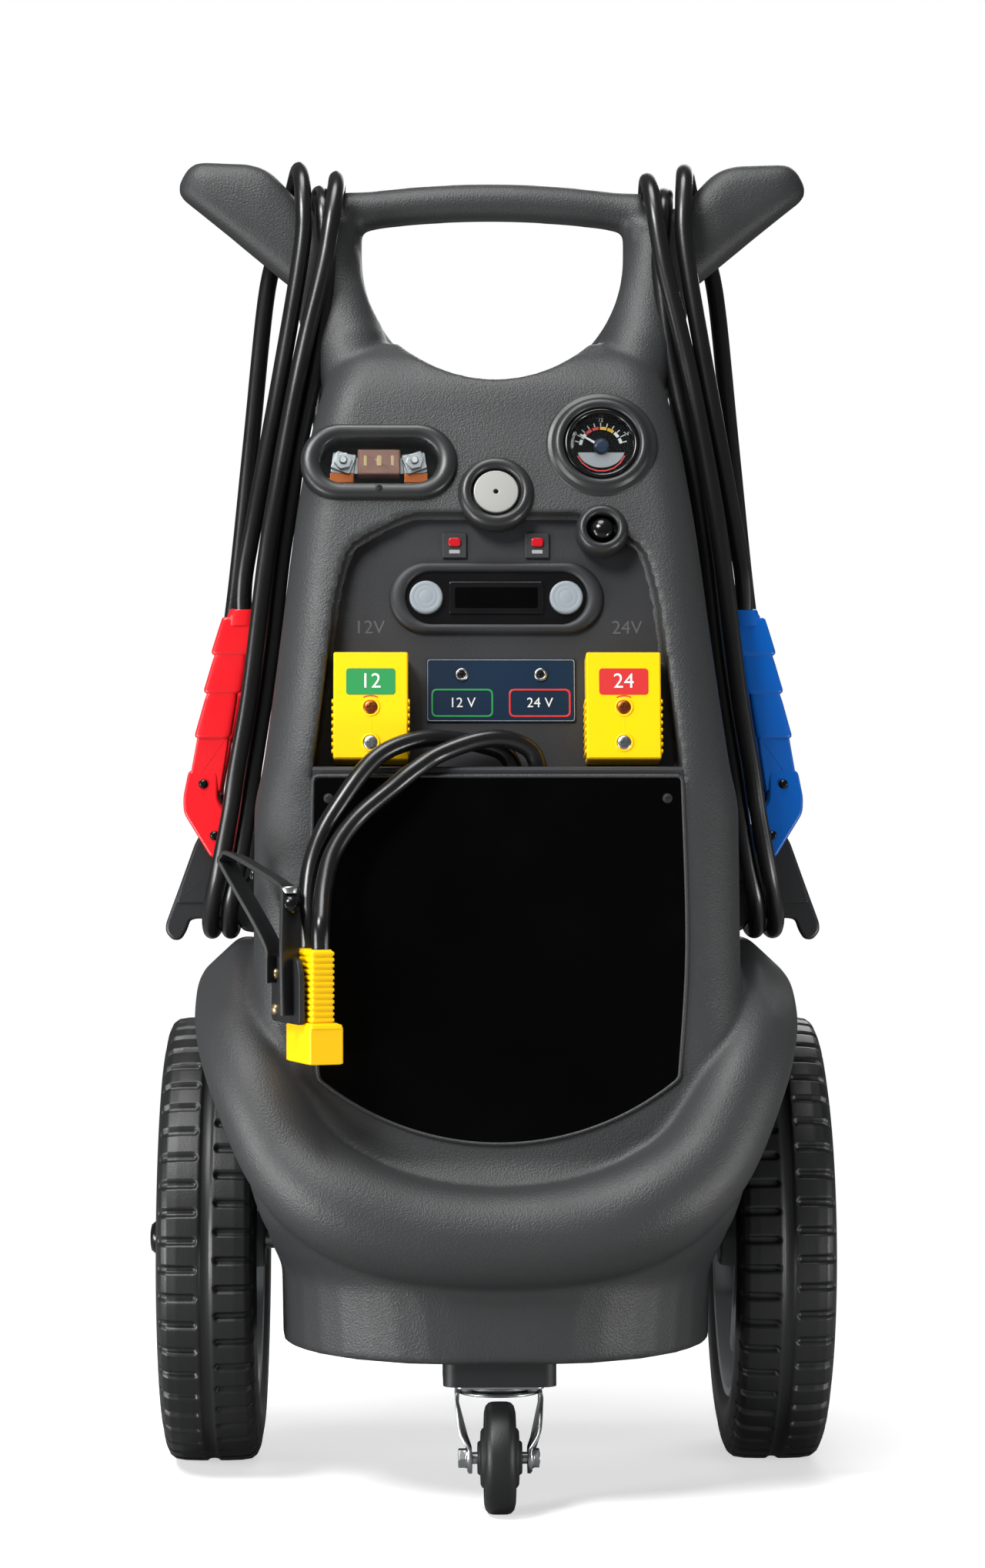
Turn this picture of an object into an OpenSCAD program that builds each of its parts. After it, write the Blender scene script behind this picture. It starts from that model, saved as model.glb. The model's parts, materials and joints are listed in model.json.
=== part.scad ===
// Wheeled battery booster: upright two-shell body on two road wheels and a
// front caster, with wound battery cables, two clamps and a loose plug.
// Millimetres, +Z up, the front faces -Y. The origin is the bottom centre of
// the cart without its cables.

/* [Wheels] */
// Diameter of a road wheel
wheel_d = 320; // [310:1:326]
// Width of a road tyre
wheel_w = 70; // [62:1:72]
// Distance from the middle of the cart to the middle of a tyre
wheel_x = 201; // [200:1:206]
// Diameter of the moulded rim
rim_d = 232; // [210:1:240]
// Diameter of the axle
axle_d = 16; // [12:1:20]
// Radial running clearance of a wheel on its axle
wheel_fit = 0.08; // [0.04:0.01:0.1]

/* [Caster] */
// Diameter of the caster wheel
caster_d = 75; // [68:1:75]
// Width of the caster tread
caster_tread_w = 21; // [18:1:24]
// Diameter of the caster's hub core
caster_core_d = 46; // [40:1:50]
// Width of the caster's hub core
caster_core_w = 30; // [26:1:32]
// Swivel axis ahead of the axle
caster_reach = 187; // [180:1:190]
// Distance from the swivel axis to the caster wheel's axis
caster_trail = 28; // [24:1:30]
// Width of the fork over its arms at the crown
fork_w = 58; // [56:1:62]
// Width of the square spacer block
spacer_w = 76; // [72:1:84]
// Diameter of the caster's bolt
caster_bolt_d = 8; // [6:1:10]

/* [Body] */
// Height of the skirt's lower edge
skirt_z = 102; // [102:1:104]
// Width of the skirt
skirt_w = 298; // [294:1:300]
// Width of the body where the hooks sit
waist_w = 336; // [334:1:337]
// Width of the body beside the fuse window
shoulder_w = 269; // [268:1:270]
// Wall of the body shells
wall = 4; // [3:0.5:4.5]
// Height of the ledge's upper edge
ledge_z = 502; // [500:1:504]
// Reach of the bumper's nose ahead of the axle
nose_reach = 256; // [254:1:262]
// Radius of the bumper band at the nose
band_r = 34; // [32:0.5:35]
// Radius of the round opening under the handle
opening_r = 95; // [90:1:96]
// Height of the round opening's centre
opening_z = 873; // [871:1:874]
// Thickness of the cross handle
handle_d = 27.6; // [24:0.2:28]
// Height of the cross handle's middle
handle_z = 914; // [912:1:915]

/* [Control panel] */
// Depth of the recess at the ledge
recess_depth = 34; // [33:1:38]
// Thickness of the recessed panel
panel_t = 3; // [2.5:0.5:4]
// Diameter of the meter's case
meter_d = 52; // [48:1:53]
// Diameter of the silver alarm disc
alarm_d = 31.4; // [28:0.2:32]
// Diameter of a push button
button_d = 23.2; // [20:0.2:24]
// Travel of a push button
button_travel = 3; // [2:0.5:4]
// Width of a high-current socket
socket_w = 51.5; // [50:0.5:53]
// Height of a high-current socket
socket_h = 75; // [73:0.5:76]
// Thickness of a high-current socket
socket_t = 26; // [24:0.5:27]
// Width of the fuse window's opening
fuse_w = 82; // [78:1:84]
// Height of the fuse window's opening
fuse_h = 33; // [32:1:35]

/* [Fittings] */
// Thickness of the black front plate
plate_t = 1.6; // [1:0.2:2]
// Thickness of a hook bracket
hook_t = 8; // [7:0.5:8]
// Diameter of a battery cable
cable_d = 12.5; // [12:0.1:12.6]
// Width of a battery
battery_w = 181; // [170:1:186]
// Thickness of a battery
battery_t = 77; // [70:1:78]
// Height of a battery
battery_h = 167; // [150:1:170]

/* [Hidden] */
$fn = 48;
gap = 0.3;             // gap between pieces that lie against each other
axle_z = wheel_d / 2;
axle_y = (nose_reach - wheel_d / 2) / 2;
well_r = wheel_d / 2 + 10;
well_x = wheel_x - wheel_w / 2 - 8;

// Everything below is drawn with y = 0 at the axle and moved here at the end.
module placed() {
    translate([0, axle_y, 0]) children();
}

module both_sides() {
    children();
    mirror([1, 0, 0]) children();
}

module cylinder_x(d, h) {
    rotate([0, 90, 0]) cylinder(d = d, h = h, center = true);
}

// A bar with round ends, w long and h high, rising t from z = 0.
module slot_block(w, h, t) {
    translate([-(w - h) / 2, -h / 2, 0]) cube([w - h, h, t]);
    for (side = [-1, 1]) translate([side * (w - h) / 2, 0, 0]) cylinder(d = h, h = t);
}

// ---- Planes of the front ----
label_low = [236, -202];
label_top_z = ledge_z - 8;
label_slope = 37 / 258;
function label_y(z) = label_low[1] + (z - label_low[0]) * label_slope;
label_lean = atan(label_slope);
neck_z = 770;
face_slope = 0.2985;
function face_y(z) = label_y(ledge_z) + (z - ledge_z) * face_slope;
face_lean = atan(face_slope);
floor_slope = 0.173;
function floor_y(z) = label_y(ledge_z) + recess_depth + (z - ledge_z) * floor_slope;
floor_lean = atan(floor_slope);

// These three put a piece on a plane: its local x is across, y up, z outward.
module on_label(x, z, out = 0) {
    translate([x, label_y(z), z]) rotate([90 - label_lean, 0, 0]) translate([0, 0, out]) children();
}

module on_face(x, z, out = 0) {
    translate([x, face_y(z), z]) rotate([90 - face_lean, 0, 0]) translate([0, 0, out]) children();
}

module on_floor(x, z, out = 0) {
    translate([x, floor_y(z), z]) rotate([90 - floor_lean, 0, 0]) translate([0, 0, out]) children();
}

// ---- Skins through rings of points ----
function arc(cx, cy, rx, ry, from, to, steps) =
    [for (i = [0:steps]) let (a = from + (to - from) * i / steps) [cx + rx * cos(a), cy + ry * sin(a)]];

module skin(rings) {
    n = len(rings[0]);
    last = (len(rings) - 1) * n;
    points = [for (ring = rings) each ring];
    sides = [for (i = [0:len(rings) - 2]) for (j = [0:n - 1])
        let (a = i * n + j, b = a + n, c = (i + 1) * n + (j + 1) % n, d = i * n + (j + 1) % n)
        each [[a, b, c], [a, c, d]]];
    ends = [[for (j = [0:n - 1]) j], [for (j = [n - 1:-1:0]) last + j]];
    polyhedron(points, concat(sides, ends));
}

function unit(v) = v / norm(v);
function tangent(path, i) =
    unit(path[min(i + 1, len(path) - 1)] - path[max(i - 1, 0)]);
function ring_at(path, i, r, sides, across) =
    let (t = tangent(path, i), u = unit(across - (across * t) * t), v = cross(t, u))
    [for (k = [0:sides - 1]) let (a = 360 * (k + 0.5) / sides) path[i] + r * cos(a) * u + r * sin(a) * v];

// A tube along a path, with its first and last rings square to the path.
module tube(path, r, sides, across) {
    skin([for (i = [0:len(path) - 1]) ring_at(path, i, r, sides, across)]);
}

// A tube whose radius is the fourth number of each point.
module swelling_tube(path, sides, across) {
    centres = [for (p = path) [p[0], p[1], p[2]]];
    skin([for (i = [0:len(path) - 1]) ring_at(centres, i, path[i][3], sides, across)]);
}

// Smooth points between the chosen ones, steps to each.
function spline_at(p, i, t) =
    let (n = len(p) - 1, a = p[max(i - 1, 0)], b = p[i], c = p[min(i + 1, n)], d = p[min(i + 2, n)])
    0.5 * (2 * b + (c - a) * t + (2 * a - 5 * b + 4 * c - d) * t * t + (3 * b - a - 3 * c + d) * t * t * t);
function spline(p, steps) = concat(
    [for (i = [0:len(p) - 2]) for (k = [0:steps - 1]) spline_at(p, i, k / steps)], [p[len(p) - 1]]);
function path_length(p) = len(p) < 2 ? 0 : add([for (i = [1:len(p) - 1]) norm(p[i] - p[i - 1])]);
function add(v, i = 0) = i < len(v) ? v[i] + add(v, i + 1) : 0;
// Least distance between two turns of a path, less the tube's diameter.
function turn_gap(p, d, skip) = min([for (i = [0:len(p) - 1]) for (j = [i + skip:1:len(p) - 1])
    norm(p[i] - p[j]) - d]);

// ---- Body ----
rear_low = 105;
// Height, half width, front, rear, and the front corner's radius across and along.
column = [
    [skirt_z, skirt_w / 2, -232, rear_low, 125, 130],
    [172, skirt_w / 2 + 2, -230, rear_low + 1, 105, 110],
    [200, skirt_w / 2 + 11, -226, rear_low + 1, 60, 64],
    [236, skirt_w / 2 + 24, label_y(236), rear_low + 2, 46, 50],
    [262, waist_w / 2 + 9, label_y(262), rear_low + 2, 40, 44],
    [300, waist_w / 2 + 5, label_y(300), rear_low + 2, 34, 38],
    [340, waist_w / 2, label_y(340), rear_low + 1, 34, 37],
    [372, waist_w / 2, label_y(372), rear_low - 2, 38, 38],
    [470, waist_w / 2, label_y(470), rear_low - 17, 38, 38],
    [ledge_z, 162, label_y(ledge_z), rear_low - 22, 32, 32],
    [580, 152, face_y(580), rear_low - 35, 30, 30],
    [670, 141.5, face_y(670), rear_low - 49, 28, 28],
    [716, shoulder_w / 2, face_y(716), rear_low - 55, 28, 28],
    [745, 129, face_y(745), rear_low - 59, 28, 28],
    [neck_z, 122.5, face_y(neck_z), rear_low - 63, 28, 28],
    [790, 116, -70, rear_low - 67, 28, 28],
    [806, 104, -46, rear_low - 73, 26, 26]];

function column_ring(s, inset, z) =
    let (x = s[1] - inset, f = s[2] + inset, r = s[3] - inset, rx = s[4] - inset, ry = s[5] - inset, rr = 26 - inset)
    [for (p = concat(
        arc(x - rx, f + ry, rx, ry, -90, 0, 5),
        arc(x - rr, r - rr, rr, rr, 0, 90, 3),
        arc(-x + rr, r - rr, rr, rr, 90, 180, 3),
        arc(-x + rx, f + ry, rx, ry, 180, 270, 5))) [p[0], p[1], z]];

// The column, open at the skirt, with the round opening's saddle cut from its top.
module column_skin(inset) {
    last = len(column) - 1;
    difference() {
        skin([for (i = [0:last]) column_ring(column[i], inset,
            column[i][0] - (i == 0 && inset > 0 ? 1 : 0) - (i == last ? inset : 0))]);
        translate([0, 0, opening_z]) rotate([90, 0, 0]) cylinder(r = opening_r + 1 + inset, h = 400, center = true, $fn = 96);
    }
}

// Middle line of the bumper band and fenders on the +X side, with its radius.
side_x = waist_w / 2;
band_half = [
    [side_x + 4, 96, 338, 19], [side_x + 10, 66, 347, 26], [side_x + 12, 20, 350, 28.5],
    [side_x + 13, -40, 349, 29], [side_x + 13, -95, 340, 29.5], [side_x + 10, -140, 318, 30],
    [side_x - 1, -178, 284, 32], [side_x - 26, -200, 234, 35],
    [106, -214, 205, 38], [55, -nose_reach + 36, 189, 36]];

module band(inset) {
    points = concat(
        [for (p = band_half) [p[0], p[1], p[2], p[3] - inset]],
        [[0, -nose_reach + band_r, 185, band_r - inset]],
        [for (i = [len(band_half) - 1:-1:0]) [-band_half[i][0], band_half[i][1], band_half[i][2], band_half[i][3] - inset]]);
    swelling_tube(points, 14, [0, 0, 1]);
}

// The horns: distance out, lower and upper edge, half thickness.
horn = [[100, 872, 915, 16], [112, 856, 911, 19], [126, 847, 909.5, 20], [138, 848, 912, 20],
    [148, 853, 921.5, 20.5], [158, 861, 932, 20.5], [167, 868.5, 938, 20.5], [178, 877.5, 941, 20],
    [190, 887.5, 941.5, 19.5], [203, 898, 942, 18.5], [213, 906, 942, 17], [220, 911.5, 939, 14],
    [225, 915.5, 932.5, 10], [228, 920, 926.5, 5]];
handle_mid_y = 2;

module horn_skin() {
    skin([for (s = horn) let (mid = (s[1] + s[2]) / 2, half = (s[2] - s[1]) / 2)
        [for (k = [0:13]) let (a = 360 * (k + 0.5) / 14, c = cos(a), d = sin(a))
            [s[0], handle_mid_y + s[3] * sign(c) * pow(abs(c), 0.7), mid + half * sign(d) * pow(abs(d), 0.7)]]]);
}

arm_half = 23.5;       // half the width of the arms beside the opening
arm_depth = 22;        // half their thickness
arm_x = opening_r + arm_half;
handle_span = 105;     // half the length of the cross handle
handle_rise = 8.5;     // rise of the cross handle's arch
handle_arc_r = (handle_span * handle_span + handle_rise * handle_rise) / (2 * handle_rise);

module arm_profile() {
    scale([arm_half, arm_depth]) circle(r = 1);
}

module head() {
    translate([0, handle_mid_y, opening_z]) rotate([90, 0, 0]) rotate([0, 0, 180])
        rotate_extrude(angle = 180) translate([arm_x, 0]) arm_profile();
    both_sides() translate([arm_x, handle_mid_y, opening_z]) linear_extrude(25) arm_profile();
    sweep = 2 * asin(handle_span / handle_arc_r);
    translate([0, handle_mid_y, handle_z - handle_arc_r]) rotate([90, 0, 0]) rotate([0, 0, 90 - sweep / 2])
        rotate_extrude(angle = sweep) translate([handle_arc_r, 0]) circle(d = handle_d);
    both_sides() horn_skin();
}

// Sizes and places of what sits on the front, as [across, up].
meter_at = [74.5, 729];
alarm_at = [0, 694];
test_at = [74, 668];
fuse_at = [-82, 716];
selector_at = [0, 620];
boss_h = 5;
boss_sink = 6;         // how far the two rings over the recess reach inward
alarm_ring_d = alarm_d + 22;
test_ring_d = 36;

module bosses() {
    on_face(meter_at[0], meter_at[1], -boss_sink) cylinder(d = meter_d + 18, h = boss_sink + boss_h);
    on_face(alarm_at[0], alarm_at[1], -boss_sink) cylinder(d = alarm_ring_d, h = boss_sink + boss_h);
    on_face(test_at[0], test_at[1], -boss_sink) cylinder(d = test_ring_d, h = boss_sink + boss_h);
    on_face(fuse_at[0], fuse_at[1], -wall) slot_block(fuse_w + 28, fuse_h + 23, wall + boss_h);
}

module boss_holes() {
    on_face(meter_at[0], meter_at[1], -40) cylinder(d = meter_d + 2 * gap, h = 60);
    on_face(alarm_at[0], alarm_at[1], 1.5) cylinder(d = alarm_d + 3, h = 20);
    on_face(alarm_at[0], alarm_at[1], -40) cylinder(d = alarm_d - 6, h = 60);
    on_face(test_at[0], test_at[1], -3) cylinder(d = 21.8, h = 20);
    on_face(test_at[0], test_at[1], -40) cylinder(d = 10.2, h = 60);
    on_face(fuse_at[0], fuse_at[1], -40) slot_block(fuse_w, fuse_h, 60);
    on_face(fuse_at[0], fuse_at[1] - fuse_h / 2 - 4, -40) cylinder(d = 3.4, h = 60);
}

// Half outline of the recess, from its lower corner to its top, by height.
recess_side = [[125, ledge_z], [111, 622], [102, 657], [60, 678]];
function recess_outline(inset, low) = let (side = concat([[recess_side[0][0] - inset, low]],
        [for (i = [1:3]) [recess_side[i][0] - inset, recess_side[i][1] - (i > 1 ? inset : 0)]]))
    concat(side, [for (i = [3:-1:0]) [-side[i][0], side[i][1]]]);

module recess_prism(inset, low, from, to) {
    translate([0, to, 0]) rotate([90, 0, 0]) linear_extrude(to - from) polygon(recess_outline(inset, low));
}

module wheel_wells(grown = 0) {
    both_sides() translate([well_x - grown, 0, axle_z]) rotate([0, 90, 0]) cylinder(r = well_r + grown, h = 120, $fn = 96);
}

// The room inside the body, with the wheel wells' walls left standing.
module inside() {
    difference() {
        union() {
            column_skin(wall);
            band(wall);
        }
        wheel_wells(wall);
    }
}

hook_z = 424;
module hook_screw_places(x) {
    both_sides() for (y = [-37, -7]) translate([x, y, hook_z]) rotate([0, 90, 0]) children();
}

module body_outside() {
    column_skin(0);
    band(0);
    head();
}

split_z = opening_z - opening_r + 4;    // where the handle's mouldings meet the body's
module half_space(front, low, high) {
    translate([-300, front ? -400 : 0, low]) cube([600, 400, high - low]);
}

// One half of the handle, with its arms and horns.
module handle_half(front) {
    color("#3f4143") placed() difference() {
        intersection() {
            body_outside();
            half_space(front, split_z + gap / 2, handle_z + 100);
        }
        column_skin(wall);
    }
}

module handle_front() {
    handle_half(true);
}

module handle_rear() {
    handle_half(false);
}

module front_shell() {
    color("#3f4143") placed() difference() {
        union() {
            difference() {
                intersection() {
                    body_outside();
                    half_space(true, 50, split_z - gap / 2);
                }
                inside();
                recess_prism(0, ledge_z, -300, -60);
            }
            bosses();
        }
        wheel_wells();
        boss_holes();
        translate([0, 0, axle_z]) cylinder_x(axle_d + 4, 400);
        hook_screw_places(waist_w / 2 - 10) cylinder(d = 4.4, h = 20);
        both_sides() on_label(screw_x, screw_z, -20) cylinder(d = 3.4, h = 40);
    }
}

cover_w = 200;
cover_low = 130;
cover_high = 330;
function rear_face_y(z) = lookup(z, [for (s = column) [s[0], s[3]]]);

module rear_shell() {
    color("#3f4143") placed() difference() {
        intersection() {
            body_outside();
            half_space(false, 50, split_z - gap / 2);
        }
        inside();
        wheel_wells();
        translate([0, 0, axle_z]) cylinder_x(axle_d + 4, 400);
        translate([-cover_w / 2 + 12, rear_low - 20, cover_low + 12])
            cube([cover_w - 24, 60, cover_high - cover_low - 24]);
        cover_screw_places() cylinder(d = 3.4, h = 60, center = true);
        gland_places_rear() cylinder(d = gland_d - 6, h = 60, center = true);
        hook_screw_places(waist_w / 2 - 10) cylinder(d = 4.4, h = 20);
    }
}

module cover_screw_places() {
    both_sides() for (z = [cover_low + 6, cover_high - 6])
        translate([cover_w / 2 - 6, rear_low + 2 + gap + cover_t, z]) rotate([-90, 0, 0]) children();
}

// ---- Plates and covers ----
cover_t = 3;
module rear_cover() {
    color("#37393b") placed() difference() {
        union() {
            translate([-cover_w / 2, rear_low + 2 + gap, cover_low]) cube([cover_w, cover_t, cover_high - cover_low]);
            for (i = [0:6]) translate([-60, rear_low + 2 + gap + cover_t, cover_low + 70 + 14 * i]) cube([120, 2, 6]);
        }
        cover_screw_places() cylinder(d = 3.4, h = 60, center = true);
    }
}

screw_seat = 0.5;      // thickness of the plate under the flush screw heads
screw_x = 116;
screw_z = ledge_z - 22;
label_side = [[125, label_top_z], [127, 380], [121, 291]];
label_low_z = 248;
label_arc_r = (pow(label_side[2][0], 2) + pow(label_side[2][1] - label_low_z, 2)) / (2 * (label_side[2][1] - label_low_z));
label_arc = asin(label_side[2][0] / label_arc_r);
label_outline = concat(
    [[-label_side[2][0], label_side[2][1]], [-label_side[1][0], label_side[1][1]], [-label_side[0][0], label_side[0][1]]],
    [label_side[0], label_side[1], label_side[2]],
    [for (i = [1:11]) let (a = label_arc - 2 * label_arc * i / 12)
        [label_arc_r * sin(a), label_low_z + label_arc_r - label_arc_r * cos(a)]]);

module label_plate() {
    color("#0b0b0c") placed() difference() {
        on_label(0, label_low_z, gap) translate([0, -label_low_z, 0]) linear_extrude(plate_t) polygon(label_outline);
        both_sides() on_label(screw_x, screw_z, -20) cylinder(d = 3.4, h = 40);
        both_sides() on_label(screw_x, screw_z, gap + screw_seat) cylinder(d = 7, h = 10);
    }
}

base_t = 3;
ear_x = 120;
ear_t = 5;
module base_plate() {
    inset = wall + gap;
    ring = [for (p = column_ring(column[0], inset, 0)) [p[0], p[1]]];
    color("#55585a") placed() difference() {
        union() {
            translate([0, 0, skirt_z]) linear_extrude(base_t) polygon(ring);
            both_sides() translate([ear_x, -22, skirt_z]) cube([ear_t, 44, axle_z - skirt_z]);
            both_sides() translate([ear_x + ear_t / 2, 0, axle_z]) cylinder_x(44, ear_t);
        }
        translate([0, 0, axle_z]) cylinder_x(axle_d + 0.1, 400);
    }
}

// Pan-head screws: shank towards -z, head above z = 0.
module pan_screw(d, shank) {
    translate([0, 0, -shank]) cylinder(d = d, h = shank);
    rotate_extrude() polygon([[0, -0.01], [d, -0.01], [d, d * 0.35], [d * 0.7, d * 0.6], [0, d * 0.7]]);
}

module flush_screw(d, shank, head) {
    translate([0, 0, -shank]) cylinder(d = d, h = shank + 0.1);
    cylinder(d = 2 * d, h = head);
}

// All the screws that hold the plates, covers, hooks and sockets.
module case_screws() {
    color("#8c8f91") placed() {
        both_sides() on_label(screw_x, screw_z, gap + screw_seat + 0.05) flush_screw(3, 10, plate_t - screw_seat - 0.1);
        hook_screw_places(waist_w / 2 + hook_flange_t + 2 * gap) pan_screw(4, 12);
        socket_places() for (f = [0.15, 0.48])
            translate([0, socket_h * f, socket_t + gap]) pan_screw(5.6, socket_t + gap - 0.2);
        cover_screw_places() translate([0, 0, gap]) pan_screw(3, 10);
        on_face(fuse_at[0], fuse_at[1] - fuse_h / 2 - 4, boss_h + window_t + 2 * gap) pan_screw(3, window_t + 2 * gap + 4);
    }
}

// ---- Control panel ----
module control_panel() {
    color("#3a3c3e") placed() {
        panel_tub();
        both_sides() on_floor(lamp_x, lamp_z, -0.5) translate([-7.5, -8.5, 0]) cube([15, 17, tile_t + 0.5]);
    }
}

// The recessed panel with its sides, cut for what it carries.
module panel_tub() {
    low = ledge_z - 18;
    top = 679;
    lip = label_y(ledge_z) + wall + gap;
    back = wall + gap;
    difference() {
        intersection() {
            rotate([90, 0, 90]) linear_extrude(300, center = true) polygon([
                [lip, low], [lip, ledge_z - 0.5], [face_y(ledge_z) + back, ledge_z + gap], [face_y(top) + back, top],
                [floor_y(top) + panel_t, top], [floor_y(low) + panel_t, low]]);
            recess_prism(gap, low, -200, 0);
        }
        intersection() {
            rotate([90, 0, 90]) linear_extrude(300, center = true) polygon([
                [lip + panel_t, low + panel_t], [lip + panel_t, ledge_z + 1], [lip - 40, ledge_z + 1],
                [face_y(top) - 30, top], [floor_y(top), top], [floor_y(low + panel_t), low + panel_t]]);
            recess_prism(gap + 1.4, low + panel_t, -250, 0);
        }
        on_floor(selector_at[0], selector_at[1], -10) slot_block(selector_w + 2 * gap, selector_h + 2 * gap, 20);
        on_face(alarm_at[0], alarm_at[1], -30) cylinder(d = alarm_ring_d + 2 * gap, h = 60);
        on_face(test_at[0], test_at[1], -30) cylinder(d = test_ring_d + 2 * gap, h = 60);
        plug_gland_places() cylinder(d = plug_gland_d - 2, h = 20, center = true);
        socket_places() both_sides() translate([13, 30, -10]) cylinder(d = 9, h = 20);
    }
}

selector_w = 126;
selector_h = 39;
rim_h = 4;
module selector_fascia() {
    color("#0c0c0d") placed() on_floor(selector_at[0], selector_at[1]) difference() {
        union() {
            translate([0, 0, gap]) difference() {
                slot_block(selector_w + 22, selector_h + 10, rim_h);
                translate([0, 0, 1]) slot_block(selector_w, selector_h, rim_h);
            }
            translate([0, 0, -6]) slot_block(selector_w, selector_h, 7);
            translate([-32, -11, 1]) cube([64, 22, 1.6]);
        }
        both_sides() translate([button_x, 0, -20]) cylinder(d = button_d + 0.8, h = 40);
    }
}

button_x = 49;
module push_button(x) {
    color("#c9ccce") placed() on_floor(selector_at[0] + x, selector_at[1]) difference() {
        union() {
            translate([0, 0, -10]) cylinder(d = button_d, h = 10 + rim_h + 1);
            translate([0, 0, -12]) cylinder(d = button_d + 4, h = 3);
        }
        translate([0, 0, rim_h + 0.4]) difference() {
            cylinder(d = button_d - 5, h = 2);
            translate([0, 0, -1]) cylinder(d = button_d - 8, h = 4);
        }
    }
}

module button_12v() {
    push_button(-button_x);
}

module button_24v() {
    push_button(button_x);
}

lamp_x = 29;
lamp_z = 657;
tile_t = 1.5;
module indicator_lamps() {
    color("#b01818") placed() both_sides() on_floor(lamp_x, lamp_z, tile_t + gap) {
        translate([-4.5, -1, 0]) cube([9, 7, 2.4]);
        translate([0, 2.5, 2.4]) cylinder(d = 5, h = 1);
    }
}

detection_w = 104;
detection_h = 45;
detection_z = 555;
detection_lamp_x = 27.5;
module detection_label() {
    color("#22364d") placed() difference() {
        on_floor(0, detection_z, gap) translate([-detection_w / 2, -detection_h / 2, 0]) cube([detection_w, detection_h, 1]);
        both_sides() on_floor(detection_lamp_x, detection_z + 11, -2) cylinder(d = 6.6, h = 10);
    }
}

module detection_lamps() {
    color("#9fa3a6") placed() both_sides() on_floor(detection_lamp_x, detection_z + 11, gap) difference() {
        union() {
            cylinder(d = 6, h = 3);
            translate([0, 0, 1 + gap]) cylinder(d = 9, h = 1.6);
        }
        translate([0, 0, 1.5]) cylinder(d = 3, h = 3);
    }
}

// ---- Meter ----
module meter_case() {
    r = meter_d / 2;
    top = boss_h + gap;
    color("#101112") placed() on_face(meter_at[0], meter_at[1]) difference() {
        rotate_extrude() polygon([[0, -32], [r, -32], [r, top], [r + 3, top], [r + 3, top + 3], [r + 1.5, top + 5],
            [r - 1.5, top + 5], [r - 1.5, top + 3.4], [r - 0.7, top + 3.4], [r - 0.7, 3], [r - 4, 3], [r - 4, -30],
            [0, -30]]);
    }
}

module meter_dial() {
    color("#16181b") placed() on_face(meter_at[0], meter_at[1]) difference() {
        union() {
            translate([0, 0, 3 + 0.1]) cylinder(d = meter_d - 1.8, h = 1);
            translate([0, 0, -29.8]) cylinder(d = 12, h = 33);
        }
        translate([0, 0, -5]) cylinder(d = 2.1, h = 20);
    }
}

module meter_needle() {
    color("#d8dadb") placed() on_face(meter_at[0], meter_at[1]) {
        translate([0, 0, 0]) cylinder(d = 2, h = 6);
        translate([0, 0, 4.6]) cylinder(d = 7, h = 1.4);
        rotate([0, 0, 50]) translate([-0.6, 0, 5]) cube([1.2, 17, 0.8]);
    }
}

module meter_lens() {
    color("#cfd8dc", 0.4) placed() on_face(meter_at[0], meter_at[1], boss_h + gap + 1.6)
        cylinder(d = meter_d - 1.8, h = 1.5);
}

module alarm_disc() {
    color("#d9dad6") placed() on_face(alarm_at[0], alarm_at[1], 1.5 + gap) difference() {
        union() {
            cylinder(d = alarm_d, h = 2.2);
            translate([0, 0, -8]) cylinder(d = alarm_d - 8, h = 9);
        }
        translate([0, 0, -5]) cylinder(d = 5, h = 10);
    }
}

module test_button() {
    color("#0b0b0c") placed() on_face(test_at[0], test_at[1]) {
        translate([0, 0, -14]) cylinder(d = 10, h = 15);
        translate([0, 0, -12]) cylinder(d = 14, h = 3);
        intersection() {
            translate([0, 0, -3 + button_travel + gap]) cylinder(d = 17, h = 12);
            translate([0, 0, -5]) sphere(r = 11.5);
        }
    }
}

// ---- Fuse ----
window_t = 2;
module fuse_block() {
    color("#1a1b1c") placed() on_face(fuse_at[0], fuse_at[1]) difference() {
        union() {
            translate([-(fuse_w - 8) / 2, -(fuse_h + 12) / 2, -22]) cube([fuse_w + 4, fuse_h + 12, 8]);
            for (x = [-20, 36]) for (y = [-20, 20]) translate([x, y, -15]) cylinder(d = 5, h = 15 - wall - gap);
        }
        for (side = [-1, 1]) translate([side * 25, 0, -30]) cylinder(d = 6.2, h = 40);
    }
}

module fuse_busbars() {
    color("#a35a2c") placed() on_face(fuse_at[0], fuse_at[1], -14 + gap) for (side = [-1, 1]) difference() {
        translate([side * 26 - 10, -12, 0]) cube([20, 18, 3]);
        translate([side * 25, 0, -1]) cylinder(d = 6.4, h = 8);
    }
}

module fuse_link() {
    color("#7d5140") placed() on_face(fuse_at[0], fuse_at[1], -11 + 2 * gap) difference() {
        union() {
            translate([-14.5, -9.5, 0]) cube([29, 19, 9]);
            translate([-31, -6, 0]) cube([62, 12, 2]);
        }
        for (side = [-1, 1]) translate([side * 25, 0, -1]) cylinder(d = 6.4, h = 8);
    }
}

module fuse_studs() {
    color("#c4c8c8") placed() on_face(fuse_at[0], fuse_at[1]) for (side = [-1, 1]) translate([side * 25, 0, 0]) {
        translate([0, 0, -24]) cylinder(d = 6, h = 24);
        translate([0, 0, -9 + 3 * gap]) cylinder(d = 15.5, h = 5.5, $fn = 6);
    }
}

module fuse_window() {
    color("#dfe6e8", 0.35) placed() on_face(fuse_at[0], fuse_at[1], boss_h + gap) difference() {
        union() {
            slot_block(fuse_w + 8, fuse_h + 6, window_t);
            translate([-6, -fuse_h / 2 - 9, 0]) cube([12, 12, window_t]);
        }
        translate([0, -(fuse_h / 2 + 4) / cos(face_lean), -1]) cylinder(d = 3.4, h = 5);
    }
}

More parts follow.
